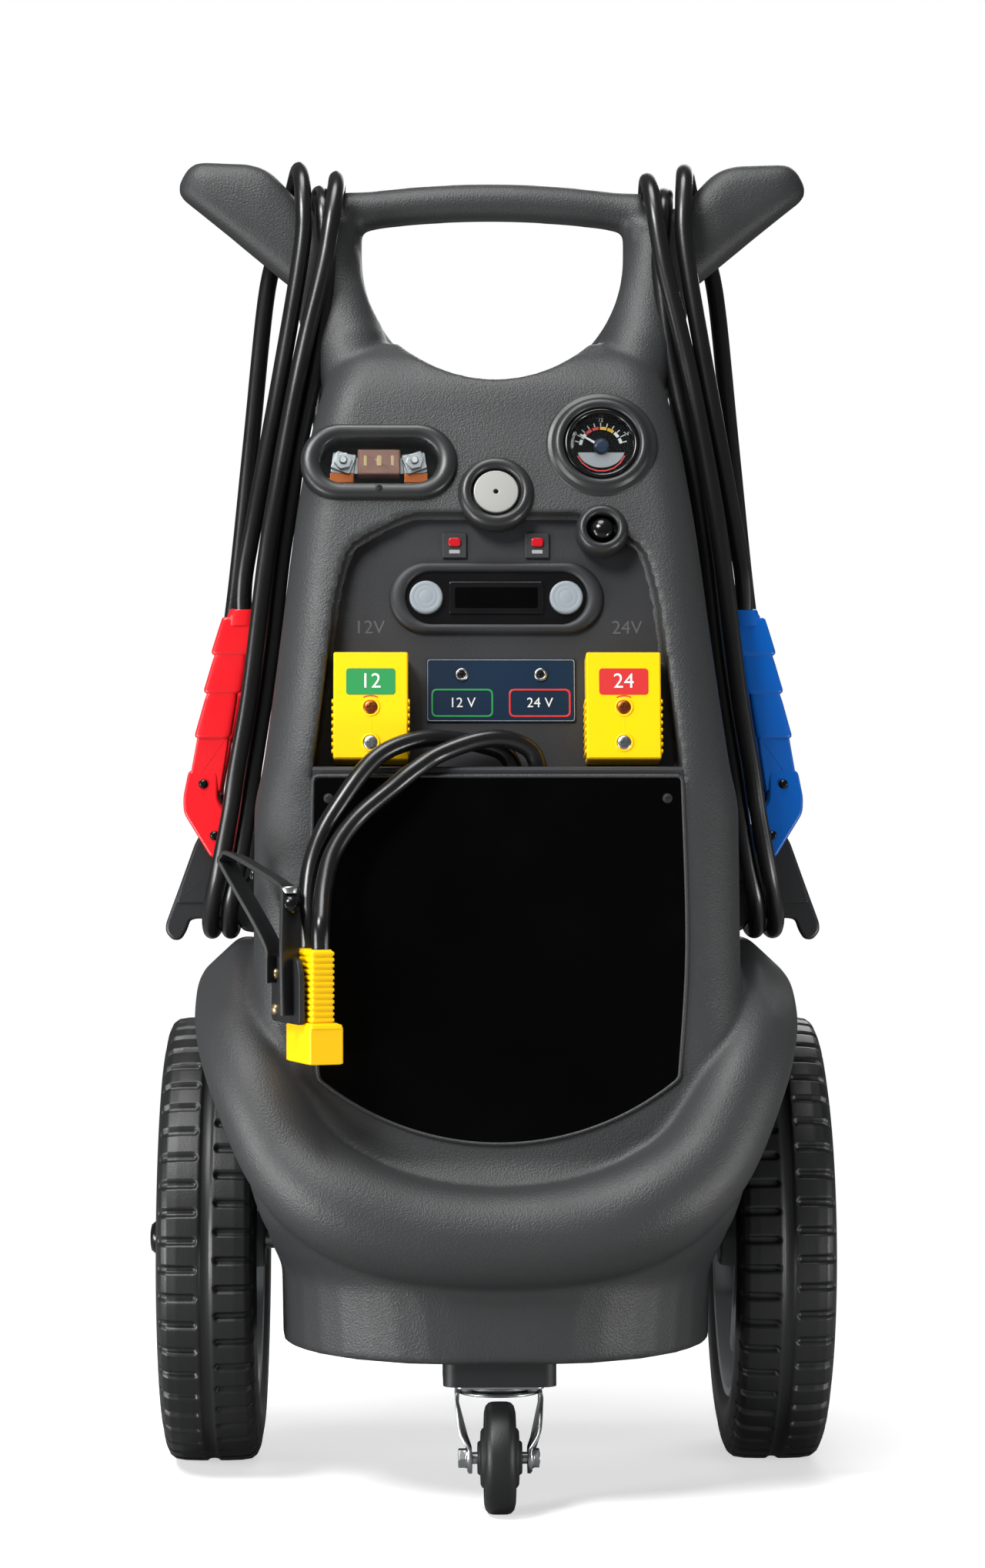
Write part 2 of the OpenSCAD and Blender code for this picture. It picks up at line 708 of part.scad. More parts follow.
// ---- Sockets ----
socket_x = 87.3;
socket_low = ledge_z + 1;
module socket_places() {
    for (side = [-1, 1]) on_floor(side * socket_x, socket_low, gap) children();
}

// Housing of a two-pole high-current connector, mating face up, cable end down.
module connector_housing(w, h, t) {
    pole = w / 4;
    difference() {
        union() {
            translate([-w / 2, 0, 0]) cube([w, h, t]);
            for (side = [-1, 1]) for (i = [0:7])
                translate([side * w / 2 - 0.8, 4 + 4.6 * i, 2]) cube([1.6, 2.2, t - 4]);
        }
        translate([0, h * 0.48, -1]) cylinder(d = 6.4, h = t + 2);
        translate([0, h * 0.15, -1]) cylinder(d = 6.4, h = t + 2);
        for (side = [-1, 1]) {
            translate([side * pole - 8, h - 26, t / 2 - 6]) cube([16, 30, 12]);
            translate([side * pole, -1, t / 2]) rotate([-90, 0, 0]) cylinder(d = 12, h = 30);
        }
    }
}

module socket_12v() {
    color("#f2c400") placed() on_floor(-socket_x, socket_low, gap) connector_housing(socket_w, socket_h, socket_t);
}

module socket_24v() {
    color("#f2c400") placed() on_floor(socket_x, socket_low, gap) connector_housing(socket_w, socket_h, socket_t);
}

module contact_pair(w, h, t) {
    for (side = [-1, 1]) translate([side * w / 4 - 6, h - 25.7, t / 2 - 5.7]) cube([12, 20, 3]);
}

module socket_contacts() {
    color("#c9c9c4") placed() socket_places() contact_pair(socket_w, socket_h, socket_t);
}

// ---- Glands ----
gland_d = 24;
rear_gland = [112, 345];
plug_gland_d = 17.2;
plug_gland = [[28, -147.6], [11, -141.3]];
shelf_z = ledge_z - 15;
module gland_places_rear() {
    both_sides() translate([rear_gland[0], rear_face_y(rear_gland[1]), rear_gland[1]]) rotate([-90, 0, 0]) children();
}

module plug_gland_places() {
    for (p = plug_gland) translate([p[0], p[1], shelf_z]) children();
}

module gland(d, sleeve_d) {
    difference() {
        union() {
            cylinder(d = d, h = 3);
            translate([0, 0, -wall - 2]) cylinder(d = sleeve_d, h = wall + 3);
        }
        translate([0, 0, -20]) cylinder(d = cable_d + 0.1, h = 40);
    }
}

module cable_glands() {
    color("#141516") placed() {
        gland_places_rear() translate([0, 0, gap + 1]) gland(gland_d, gland_d - 6.6);
        plug_gland_places() translate([0, 0, gap]) gland(plug_gland_d, plug_gland_d - 2.4);
    }
}

// ---- Hook brackets ----
hook_y = -22;
hook_flange_t = 4;
hook_outline = [[0, 382], [0, 462], [37, 460], [46, 449], [68, 385], [66, 379], [57, 377], [53, 384],
    [50, 392.8], [18, 392.8], [12, 384]];
module hook_brackets() {
    x = waist_w / 2 + gap;
    color("#2d2e30") placed() both_sides() difference() {
        union() {
            translate([x, hook_y + hook_t / 2, 0]) rotate([90, 0, 0]) linear_extrude(hook_t) polygon(hook_outline);
            translate([x, -44, 392]) cube([hook_flange_t, 44, 64]);
        }
        for (y = [-37, -7]) translate([x - 1, y, hook_z]) rotate([0, 90, 0]) cylinder(d = 4.4, h = 10);
    }
}

// ---- Inside ----
battery_y = [-104, 52];
module batteries() {
    color("#2b2d31") placed() for (y = battery_y) translate([-battery_w / 2, y - battery_t / 2, skirt_z + base_t + gap])
        cube([battery_w, battery_t, battery_h]);
}

module battery_terminals() {
    color("#b8b5a6") placed() for (y = battery_y) both_sides()
        translate([battery_w / 2 - 22, y - 6, skirt_z + base_t + battery_h + 2 * gap]) cube([12, 12, 12]);
}

board_z = 400;
function rear_inside_y(z) = rear_face_y(z) - wall - gap;

// A foot from a flat mounting plane at y to the sloping rear wall.
module wall_foot(x, w, z, h, y) {
    translate([x, 0, 0]) rotate([90, 0, 90]) linear_extrude(w)
        polygon([[y, z], [rear_inside_y(z), z], [rear_inside_y(z + h), z + h], [y, z + h]]);
}

module contactor() {
    y = rear_inside_y(board_z + 60) - 2;
    color("#222426") placed() {
        translate([-75, y - 55.9, board_z]) cube([50, 56, 60]);
        for (x = [-72, -36]) wall_foot(x, 8, board_z + 4, 52, y);
    }
}

module charger_board() {
    y = rear_inside_y(board_z + 100) - 2;
    color("#2f5d3a") placed() {
        translate([-8, y - 1.9, board_z]) cube([90, 2, 100]);
        for (x = [-5, 71]) for (z = [4, 88]) wall_foot(x, 8, board_z + z, 8, y);
        translate([12, y - 31.8, board_z + 20]) cube([50, 30, 60]);
    }
}

// ---- Wheels ----
hub_len = wheel_w + 8;
cap_len = 12;
axle_half = wheel_x + wheel_w / 2 + 2;
module axle() {
    color("#9a9da0") placed() translate([0, 0, axle_z]) cylinder_x(axle_d, 2 * axle_half);
}

module axle_caps() {
    color("#17181a") placed() both_sides() translate([axle_half + gap, 0, axle_z]) rotate([0, 90, 0]) rotate_extrude()
        polygon([[0, 0], [axle_d / 2 + 4, 0], [axle_d / 2 + 4, 4], [axle_d / 2 + 1, cap_len - 1.6], [0, cap_len - 1.6]]);
}

groove_n = 38;
module tyre(x) {
    r = wheel_d / 2;
    w = wheel_w / 2;
    color("#1b1b1c") placed() translate([x, 0, axle_z]) rotate([0, 90, 0]) difference() {
        rotate_extrude($fn = 96) polygon([[rim_d / 2 + gap, -w + 8], [rim_d / 2 + 10, -w + 1], [r - 22, -w],
            [r - 9, -w + 2.5], [r - 2, -w + 9], [r, -w + 18], [r, -3], [r - 3, -3], [r - 3, 3], [r, 3], [r, w - 18],
            [r - 2, w - 9], [r - 9, w - 2.5], [r - 22, w], [rim_d / 2 + 10, w - 1], [rim_d / 2 + gap, w - 8]]);
        for (i = [0:groove_n - 1]) for (side = [-1, 1]) rotate([0, 0, (i + side / 4) * 360 / groove_n])
            translate([r - 4, -2, side > 0 ? 10 : -w - 1]) cube([12, 4, w - 9]);
    }
}

spoke_n = 6;
module rim(x) {
    w = wheel_w / 2;
    r = rim_d / 2;
    hub_r = axle_d / 2 + 13;
    color("#8d9092") placed() translate([x, 0, axle_z]) rotate([0, 90, 0]) difference() {
        union() {
            rotate_extrude($fn = 96) polygon([[r - 8, -w + 4], [r, -w + 4], [r, w - 4], [r - 8, w - 4]]);
            cylinder(r = r - 4, h = 6, center = true, $fn = 96);
            cylinder(r = hub_r, h = wheel_w + 2, center = true);
            for (i = [0:spoke_n - 1]) rotate([0, 0, i * 360 / spoke_n])
                translate([hub_r - 3, -4, -w + 12]) cube([r - hub_r - 3, 8, wheel_w - 24]);
        }
        cylinder(r = axle_d / 2 + wheel_fit, h = wheel_w + 20, center = true);
        for (i = [0:spoke_n - 1]) rotate([0, 0, (i + 0.5) * 360 / spoke_n])
            translate([r * 0.62, 0, 0]) cylinder(r = r * 0.17, h = 20, center = true);
    }
}

module tyre_left() {
    tyre(-wheel_x);
}

module rim_left() {
    rim(-wheel_x);
}

module tyre_right() {
    tyre(wheel_x);
}

module rim_right() {
    rim(wheel_x);
}

// ---- Caster ----
swivel_y = -caster_reach;
caster_y = swivel_y - caster_trail;
caster_z = caster_d / 2;
crown_z = caster_d + 2.5;
crown_t = 2.5;
race_t = 3.2;
caster_plate_t = 2.5;
race_z = crown_z + crown_t + gap;
caster_plate_z = race_z + race_t;
spacer_z = caster_plate_z + caster_plate_t + gap;
kingpin_d = 10;

module rounded_block(w, t, r) {
    translate([-w / 2 + r, -w / 2, 0]) cube([w - 2 * r, w, t]);
    translate([-w / 2, -w / 2 + r, 0]) cube([w, w - 2 * r, t]);
    for (x = [-1, 1]) for (y = [-1, 1]) translate([x * (w / 2 - r), y * (w / 2 - r), 0]) cylinder(r = r, h = t);
}

module caster_spacer() {
    color("#141516") placed() translate([0, swivel_y, spacer_z]) rounded_block(spacer_w, skirt_z - gap - spacer_z, 9);
}

module caster_plate() {
    color("#b9bdbf") placed() translate([0, swivel_y, 0]) {
        translate([0, 0, caster_plate_z]) rounded_block(spacer_w - 16, caster_plate_t, 5);
        difference() {
            translate([0, 0, race_z]) cylinder(d1 = fork_w - 8, d2 = fork_w - 2, h = race_t);
            translate([0, 0, race_z - 1]) cylinder(d = kingpin_d + 2, h = race_t);
        }
        translate([0, 0, crown_z - 4]) cylinder(d = kingpin_d, h = caster_plate_z - crown_z + 4.5);
        translate([0, 0, crown_z - 5]) cylinder(d = kingpin_d + 5, h = 5 - gap);
    }
}

module caster_fork() {
    half = fork_w / 2;
    low = caster_core_w / 2 + 1;
    color("#c3c7c9") placed() difference() {
        union() {
            translate([0, swivel_y, crown_z]) cylinder(d = fork_w, h = crown_t);
            both_sides() hull() {
                translate([half - 2.5, swivel_y - 14, crown_z - 1]) cube([2.5, 28, crown_t + 1]);
                translate([half - 1.5, caster_y - 10, 56]) cube([2.5, 26, 2]);
            }
            both_sides() hull() {
                translate([half - 1.5, caster_y - 10, 56]) cube([2.5, 26, 2]);
                translate([low + 2.1, caster_y - 10, caster_z + 8]) cube([2.5, 20, 1.5]);
            }
            both_sides() translate([low + 2.1, caster_y - 10, caster_z]) cube([2.5, 20, 9]);
            both_sides() translate([low + 3.35, caster_y, caster_z]) cylinder_x(20, 2.5);
            both_sides() translate([low + 2.3, caster_y, caster_z]) cylinder_x(14, 4.6);
        }
        translate([0, caster_y, caster_z]) cylinder_x(caster_bolt_d + 0.2, 100);
        translate([0, swivel_y, crown_z - 1]) cylinder(d = kingpin_d + 0.12, h = 10);
    }
}

module caster_tyre() {
    r = caster_d / 2;
    w = caster_tread_w / 2;
    color("#1e1f20") placed() translate([0, caster_y, caster_z]) rotate([0, 90, 0]) rotate_extrude($fn = 64)
        polygon([[caster_core_d / 2 + gap / 3, -w], [r - 4, -w], [r - 1, -w + 3], [r, -w + 6], [r, w - 6], [r - 1, w - 3],
            [r - 4, w], [caster_core_d / 2 + gap / 3, w]]);
}

module caster_core() {
    r = caster_core_d / 2;
    color("#2a2b2d") placed() translate([0, caster_y, caster_z]) rotate([0, 90, 0]) difference() {
        union() {
            cylinder(d = caster_core_d, h = caster_tread_w - 1, center = true);
            cylinder(d1 = r, d2 = r + 8, h = caster_core_w / 2 + caster_core_w / 2 - 1 - 1, center = true);
            cylinder(d = 22, h = caster_core_w, center = true);
        }
        cylinder(d = caster_bolt_d + 0.16, h = 60, center = true);
    }
}

module caster_bolt() {
    reach = caster_core_w / 2 + 1 + 4.6 + gap;
    color("#a9adaf") placed() translate([0, caster_y, caster_z]) {
        cylinder_x(caster_bolt_d, 2 * reach + 12);
        translate([reach + 3, 0, 0]) rotate([0, 90, 0]) cylinder(d = 14, h = 6, center = true, $fn = 6);
        translate([-reach - 3.5, 0, 0]) rotate([0, 90, 0]) cylinder(d = 14, h = 7, center = true, $fn = 6);
    }
}

// ---- Clamps ----
clamp_pin = [208, hook_y, 492];
pin_d = 5;
arm_t = 11;            // thickness of a clamp arm
arm_gap = 7;           // distance of an arm's inner face from the pin
cheek_t = 3;
cheek_r = 6;
front_tilt = 6;
rear_tilt = 16;
handle_outline = [[196, 486], [220, 486], [213, 523], [197, 606], [190, 608], [190, 616], [169, 616], [169.5, 606],
    [171, 597], [191, 514]];
jaw_outline = [[198, 500], [219, 500], [223, 480], [222.5, 469], [203, 437], [196, 437], [188.5, 455], [188.5, 464],
    [198, 478]];
tooth_outline = [[189.5, 457], [196.5, 438], [203, 438], [208, 446], [198, 458]];

module flat_arm(outline, t) {
    rotate([90, 0, 0]) linear_extrude(t) translate([-clamp_pin[0], -clamp_pin[2]]) polygon(outline);
}

// One arm behind the pin; side cheeks at the given distances carry the pin.
module clamp_arm(tilt, cheek_x, hole) {
    difference() {
        union() {
            rotate([-tilt, 0, 0]) translate([0, arm_gap + arm_t, 0]) flat_arm(handle_outline, arm_t);
            translate([0, arm_gap + arm_t, 0]) flat_arm(jaw_outline, arm_t);
            translate([0, arm_gap, 0]) flat_arm(tooth_outline, arm_gap - hook_t / 2 - gap);
            for (side = [-1, 1]) translate([side * cheek_x, 0, 0]) {
                cylinder_x(2 * cheek_r, cheek_t);
                translate([-cheek_t / 2, 0, -cheek_r]) cube([cheek_t, arm_gap + 1, 2 * cheek_r]);
            }
        }
        cylinder_x(pin_d + hole, 80);
    }
}

module clamp_body() {
    translate(clamp_pin) mirror([0, 1, 0]) clamp_arm(front_tilt, 9, 0.1);
}

module clamp_moving_arm() {
    translate(clamp_pin) clamp_arm(rear_tilt, 5.6, 0.12);
}

module red_clamp_body() {
    color("#d5121b") placed() mirror([1, 0, 0]) clamp_body();
}

module red_clamp_arm() {
    color("#c01018") placed() mirror([1, 0, 0]) clamp_moving_arm();
}

module blue_clamp_body() {
    color("#1a6fd0") placed() clamp_body();
}

module blue_clamp_arm() {
    color("#155fb4") placed() clamp_moving_arm();
}

module clamp_pins() {
    color("#3a3c3e") placed() both_sides() translate(clamp_pin) cylinder_x(pin_d, 24);
}

// ---- Plug ----
plug_at = [-124, -224, 304];
plug_turn = -70;
plug_w = 52;
plug_h = 76;
plug_t = 25;
module in_plug() {
    translate(plug_at) rotate([0, 0, plug_turn]) children();
}

// The housing stands with its cable end up, so the socket's form is turned over.
module plug_form() {
    translate([0, plug_t / 2, plug_h]) rotate([90, 0, 0]) mirror([0, 1, 0]) children();
}

module plug_housing() {
    color("#f2c400") placed() in_plug() difference() {
        plug_form() connector_housing(plug_w, plug_h, plug_t);
        translate([-plug_w / 2, plug_t / 2, -1]) rotate([0, 0, 45]) cube([6, 6, plug_h * 2], center = true);
    }
}

module plug_contacts() {
    color("#c9c9c4") placed() in_plug() plug_form() contact_pair(plug_w, plug_h, plug_t);
}

handle_bar = 9;
handle_loop = [[-151.5, -199, 370], [-152, -198.5, 378], [-160, -193, 394], [-183, -177, 433], [-180, -179, 440],
    [-146, -209, 422], [-140.5, -218, 412], [-140.3, -231.3, 380], [-138.8, -234.4, 340]];
handle_plate_t = 4;
module handle_screw_places() {
    for (z = [34, 58]) in_plug() translate([-32, -plug_t / 2 - gap - handle_plate_t, z]) rotate([90, 0, 0]) children();
}

module plug_handle() {
    color("#17181a") placed() difference() {
        union() {
            tube(handle_loop, handle_bar / 2, 8, [1, -1, 0.2]);
            in_plug() translate([-42, -plug_t / 2 - gap - handle_plate_t, 26]) cube([60, handle_plate_t, 44]);
        }
        handle_screw_places() cylinder(d = 4.4, h = 20, center = true);
    }
}

module plug_screws() {
    color("#b3a27a") placed() handle_screw_places() translate([0, 0, gap]) pan_screw(4, handle_plate_t);
}

// ---- Cables ----
// Route of a battery cable on the +X side, from its gland up behind the body,
// over the horn, under the hook, over and under again, and down to its clamp.
gland_y = rear_face_y(rear_gland[1]);
battery_route = [
    [112, gland_y + 4.4, 345], [112, gland_y + 17, 345], [112.5, 146, 350], [113.5, 158, 372], [115, 156, 410],
    [119, 140, 500], [124, 106, 640], [127, 76, 770], [128, 50, 860],
    [128, 34, 891], [127.5, 27, 909.5], [126, 2, 920], [123.5, -23.5, 909.5], [122, -30, 889],
    [120, -34, 862], [125, -42, 810], [132, -48, 769], [141.5, -55, 720], [149, -58, 670], [153, -58, 640],
    [160, -58, 578], [172, -56, 500], [176.5, -54, 468], [183, -50, 430],
    [188, -46, 408], [190, -37, 394], [190, -26, 385.6], [190, -4, 384], [190, 18, 387], [190, 31, 400], [189, 38, 420],
    [187, 38, 450], [180, 37, 500], [168, 36, 578], [157, 36, 644], [148, 36, 700], [140, 36, 760], [128, 35, 820],
    [117, 34, 862], [114, 32, 890], [113.5, 24, 914], [113, -2, 929.5], [113.5, -26, 921], [116, -40, 900],
    [120, -46, 872], [124.5, -49, 850], [134, -54, 810], [143.5, -61, 763], [155.5, -69, 694], [163, -70, 644],
    [174, -69, 555], [183.5, -66, 500], [188.5, -62, 468], [196, -57, 430],
    [201, -48, 408], [203.3, -38, 394], [203.3, -26, 385.6], [203.3, -4, 384], [203.3, 18, 387], [203.3, 31, 400], [203.6, 39, 420],
    [205, 40, 450], [203, 42, 500], [198, 42, 560], [188, 42, 640], [177, 38, 745], [166, 35, 850],
    [156, 34, 890], [150, 30, 910], [145, 22, 928], [141, 1, 937], [138.5, -21, 928], [137, -33, 907],
    [137, -38, 884], [142, -43, 846], [153, -50, 780], [161, -53, 735], [171, -53, 680],
    [177.5, -51, 645], [179.4, -48.8, 627], [179.5, -47.5, 614.4]];

// Routes of the plug's two cables, over the ledge's lip and down to the plug.
plug_route_pos = [[28, -147.6, 490.5], [28, -147.6, 502], [22, -149, 514], [5, -154, 521], [-15, -159, 519.5],
    [-40, -166, 510.5], [-55, -174, 501], [-69, -180, 490], [-96, -188, 467], [-112, -200, 444],
    [-118, -216, 420], [-119.3, -232, 400], [-119.6, -236.2, 393], [-119.6, -236.2, 380.3]];
plug_route_neg = [[11, -141.3, 490.5], [11, -141.3, 502], [4, -141, 512], [-12, -143.5, 517.5], [-30, -149, 520.5],
    [-47, -155, 521.5], [-64, -162, 518], [-80, -170, 510.5], [-92, -177.5, 499], [-105, -184, 481],
    [-119, -190, 458], [-127, -196, 435], [-129.5, -206, 412], [-128.5, -211.7, 396], [-128.4, -211.8, 380.3]];

cable_r = cable_d / 2;
module battery_cable() {
    tube(battery_route, cable_r, 8, [1, 0, 0]);
}

module red_cable() {
    color("#161617") placed() mirror([1, 0, 0]) battery_cable();
}

module blue_cable() {
    color("#161617") placed() battery_cable();
}

module plug_cable_pos() {
    color("#161617") placed() tube(plug_route_pos, cable_r, 8, [0, 1, 0]);
}

module plug_cable_neg() {
    color("#161617") placed() tube(plug_route_neg, cable_r, 8, [0, 1, 0]);
}

echo(battery_cable_length = path_length(spline(battery_route, 4)), least_gap = turn_gap(spline(battery_route, 4), cable_d, 14));
echo(plug_cable_lengths = [path_length(spline(plug_route_pos, 4)), path_length(spline(plug_route_neg, 4))]);

front_shell();
rear_shell();
handle_front();
handle_rear();
base_plate();
control_panel();
label_plate();
rear_cover();
case_screws();
fuse_block();
fuse_link();
fuse_studs();
fuse_busbars();
fuse_window();
meter_case();
meter_dial();
meter_needle();
meter_lens();
alarm_disc();
test_button();
selector_fascia();
button_12v();
button_24v();
indicator_lamps();
detection_label();
detection_lamps();
socket_12v();
socket_24v();
socket_contacts();
cable_glands();
hook_brackets();
batteries();
battery_terminals();
contactor();
charger_board();
axle();
axle_caps();
tyre_left();
rim_left();
tyre_right();
rim_right();
caster_spacer();
caster_plate();
caster_fork();
caster_tyre();
caster_core();
caster_bolt();
red_clamp_body();
red_clamp_arm();
blue_clamp_body();
blue_clamp_arm();
clamp_pins();
plug_housing();
plug_contacts();
plug_handle();
plug_screws();
red_cable();
blue_cable();
plug_cable_pos();
plug_cable_neg();
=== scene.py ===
"""Looks of the wheeled battery booster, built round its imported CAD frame.

Shapes are worked out in millimetres with y = 0 at the road wheels' axle, and
every finished mesh is placed in metres in the frame's own axes.
"""

import json
import logging
import math
from dataclasses import dataclass
from enum import Enum
from functools import partial
from typing import Callable, Iterable, Sequence

import bmesh
import bpy
import numpy as np
from numpy.typing import NDArray
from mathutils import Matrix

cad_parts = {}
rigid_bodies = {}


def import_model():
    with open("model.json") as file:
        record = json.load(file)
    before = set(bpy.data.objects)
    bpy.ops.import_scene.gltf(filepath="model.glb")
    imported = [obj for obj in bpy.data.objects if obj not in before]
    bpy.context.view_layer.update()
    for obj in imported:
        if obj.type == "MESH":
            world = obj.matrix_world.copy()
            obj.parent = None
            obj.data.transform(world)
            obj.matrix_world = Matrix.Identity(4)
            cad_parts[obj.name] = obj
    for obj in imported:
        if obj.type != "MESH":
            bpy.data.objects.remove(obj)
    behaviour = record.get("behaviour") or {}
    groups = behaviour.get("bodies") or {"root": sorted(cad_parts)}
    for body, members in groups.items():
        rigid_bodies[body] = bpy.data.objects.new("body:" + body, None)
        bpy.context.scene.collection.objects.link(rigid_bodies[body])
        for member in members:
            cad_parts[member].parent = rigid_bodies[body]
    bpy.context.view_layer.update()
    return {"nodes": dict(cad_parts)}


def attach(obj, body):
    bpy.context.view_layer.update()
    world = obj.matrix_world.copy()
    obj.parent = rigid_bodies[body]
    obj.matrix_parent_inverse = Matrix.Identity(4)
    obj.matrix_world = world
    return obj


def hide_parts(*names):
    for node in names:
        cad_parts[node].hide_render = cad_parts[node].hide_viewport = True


LOG = logging.getLogger("booster")
Array = NDArray[np.float64]
Stand = Callable[[Array], Array]
Piece = bpy.types.Object
SIDES = (-1.0, 1.0)
CART = "cart"
# The road wheels' axle in the frame, the height of its middle, and how far out a wheel stands.
AXLE_Y, AXLE_Z, WHEEL_X = 48.0, 160.0, 201.0
# Past this many faces a piece is even enough to need no weighted normals.
MOST_WEIGHTED = 60000


# ---------------------------------------------------------------- mesh tools


def place(points: Array) -> Array:
    """Turn millimetres about the axle into metres in the frame.

    Args:
        points: Any array whose last axis is x, y, z in millimetres.

    Returns:
        The same points in metres, moved by the axle's place.
    """
    return (points + np.array([0.0, AXLE_Y, 0.0])) / 1000.0


def link(name: str, data: bpy.types.ID) -> Piece:
    """Make an object of some data and put it in the scene.

    Args:
        name: The object's name.
        data: Its mesh, curve, camera or lamp.

    Returns:
        The new object, at the origin.
    """
    obj = bpy.data.objects.new(name, data)
    bpy.context.scene.collection.objects.link(obj)
    return obj


def new_object(name: str, vertices: Array, faces: Sequence, smooth: bool = True) -> Piece:
    """Make an object at the origin from points in millimetres.

    Args:
        name: The piece's name.
        vertices: Points as rows of x, y, z in millimetres about the axle.
        faces: Lists of vertex numbers, wound to face outwards.
        smooth: Whether the faces are shaded smooth.

    Returns:
        The new object, linked to the scene.
    """
    mesh = bpy.data.meshes.new(name)
    mesh.from_pydata(place(np.asarray(vertices, dtype=float)).tolist(), [], [list(map(int, f)) for f in faces])
    mesh.update()
    corners = np.empty(len(mesh.polygons), dtype=int)
    mesh.polygons.foreach_get("loop_total", corners)
    mesh.polygons.foreach_set("use_smooth", (corners <= 4) & smooth)
    return link(name, mesh)


def grid_faces(rows: int, columns: int, ring: bool = True) -> Array:
    """Quads of a grid of points numbered row by row.

    Args:
        rows: Number of rows.
        columns: Points in a row.
        ring: Whether each row closes on itself.

    Returns:
        An array of four vertex numbers for each quad.
    """
    last = columns if ring else columns - 1
    i, j = np.meshgrid(np.arange(rows - 1), np.arange(last), indexing="ij")
    k = (j + 1) % columns
    quads = np.stack([i * columns + j, i * columns + k, (i + 1) * columns + k, (i + 1) * columns + j], axis=-1)
    return quads.reshape(-1, 4)


def skin(name: str, rings: Array, closed_loop: bool = False) -> Piece:
    """Carry a row of rings into one closed skin.

    Args:
        name: The piece's name.
        rings: Points as [ring, point, xyz]; rings run anticlockwise seen from the last ring's side.
        closed_loop: Whether the last ring joins the first; if not, both end rings are filled.

    Returns:
        The new object.
    """
    count, sides = rings.shape[:2]
    if closed_loop:
        faces = [list(f) for f in grid_faces(count + 1, sides) % (count * sides)]
    else:
        faces = [list(f) for f in grid_faces(count, sides)]
        faces += [list(range(sides))[::-1], list(range((count - 1) * sides, count * sides))]
    return new_object(name, rings.reshape(-1, 3), faces)


def unit(v: Array) -> Array:
    """Scale vectors to length one along their last axis."""
    return v / np.linalg.norm(v, axis=-1, keepdims=True)


def curve_through(points: Array, steps: int) -> Array:
    """Catmull-Rom curve: each span is a cubic through its two points, sloped by their neighbours.

    Args:
        points: The chosen points as rows.
        steps: Points for each span.

    Returns:
        The curve's points, ending on the last chosen point.
    """
    padded = np.vstack([points[:1], points, points[-1:]])
    a, b, c, d = padded[:-3, None], padded[1:-2, None], padded[2:-1, None], padded[3:, None]
    t = (np.arange(steps) / steps)[None, :, None]
    spans = 0.5 * (2 * b + (c - a) * t + (2 * a - 5 * b + 4 * c - d) * t**2 + (3 * b - a - 3 * c + d) * t**3)
    return np.vstack([spans.reshape(-1, points.shape[1]), points[-1:]])


def evenly(path: Array, spacing: float) -> Array:
    """Points along a path at an even distance.

    Args:
        path: Points as rows.
        spacing: The distance aimed for, in the path's unit.

    Returns:
        The new points, keeping both ends.
    """
    run = np.concatenate([[0.0], np.cumsum(np.linalg.norm(np.diff(path, axis=0), axis=1))])
    wanted = np.linspace(0.0, run[-1], max(2, int(round(run[-1] / spacing)) + 1))
    return np.stack([np.interp(wanted, run, path[:, k]) for k in range(path.shape[1])], axis=1)


def squared(wave: Array, power: float) -> Array:
    """Raise a sine or cosine to a power in size alone; less than 1 squares a round section."""
    return np.sign(wave) * np.abs(wave) ** power


def tube_rings(path: Array, radii: Array, sides: int, across: Array, flat: float = 1.0, power: float = 1.0) -> Array:
    """Rings square to a path: centre + r c u + r s v, with u nearest to a fixed direction.

    c and s are the squared() cosine and sine of the ring angle.

    Args:
        path: Centres as rows.
        radii: The radius at each centre.
        sides: Points in a ring.
        across: The direction that u leans to.
        flat: Thickness along v as a share of the width along u.
        power: 1 gives a round section, less gives a squarer one.

    Returns:
        Points as [ring, point, xyz].
    """
    tangent = unit(np.gradient(path, axis=0))
    u = unit(across - (tangent @ across)[:, None] * tangent)
    v = np.cross(tangent, u)
    a = 2 * np.pi * (np.arange(sides) + 0.5) / sides
    c, s = squared(np.cos(a), power)[None, :, None], flat * squared(np.sin(a), power)[None, :, None]
    return path[:, None] + radii[:, None, None] * (c * u[:, None] + s * v[:, None])


# ---------------------------------------------------------------- finishes


def linear(hex_colour: str, alpha: float = 1.0) -> tuple[float, float, float, float]:
    """Turn an sRGB hex colour into linear numbers.

    Args:
        hex_colour: Six hex digits after a hash sign.
        alpha: The fourth number.

    Returns:
        Linear red, green, blue and alpha.
    """
    srgb = np.array([int(hex_colour[i:i + 2], 16) for i in (1, 3, 5)]) / 255.0
    rgb = np.where(srgb <= 0.04045, srgb / 12.92, ((srgb + 0.055) / 1.055) ** 2.4)
    return (float(rgb[0]), float(rgb[1]), float(rgb[2]), alpha)


def add_node(tree: bpy.types.NodeTree, kind: str, links: dict | None = None, **settings) -> bpy.types.Node:
    """Add a shader node with its settings and links.

    Args:
        tree: The material's or world's node tree.
        kind: Blender's name for the node.
        links: Input name or number to either a value or an output socket.
        settings: Properties of the node.

    Returns:
        The new node.
    """
    node = tree.nodes.new(kind)
    for key, value in settings.items():
        setattr(node, key, value)
    for key, value in (links or {}).items():
        if isinstance(value, bpy.types.NodeSocket):
            tree.links.new(value, node.inputs[key])
        else:
            node.inputs[key].default_value = value
    return node


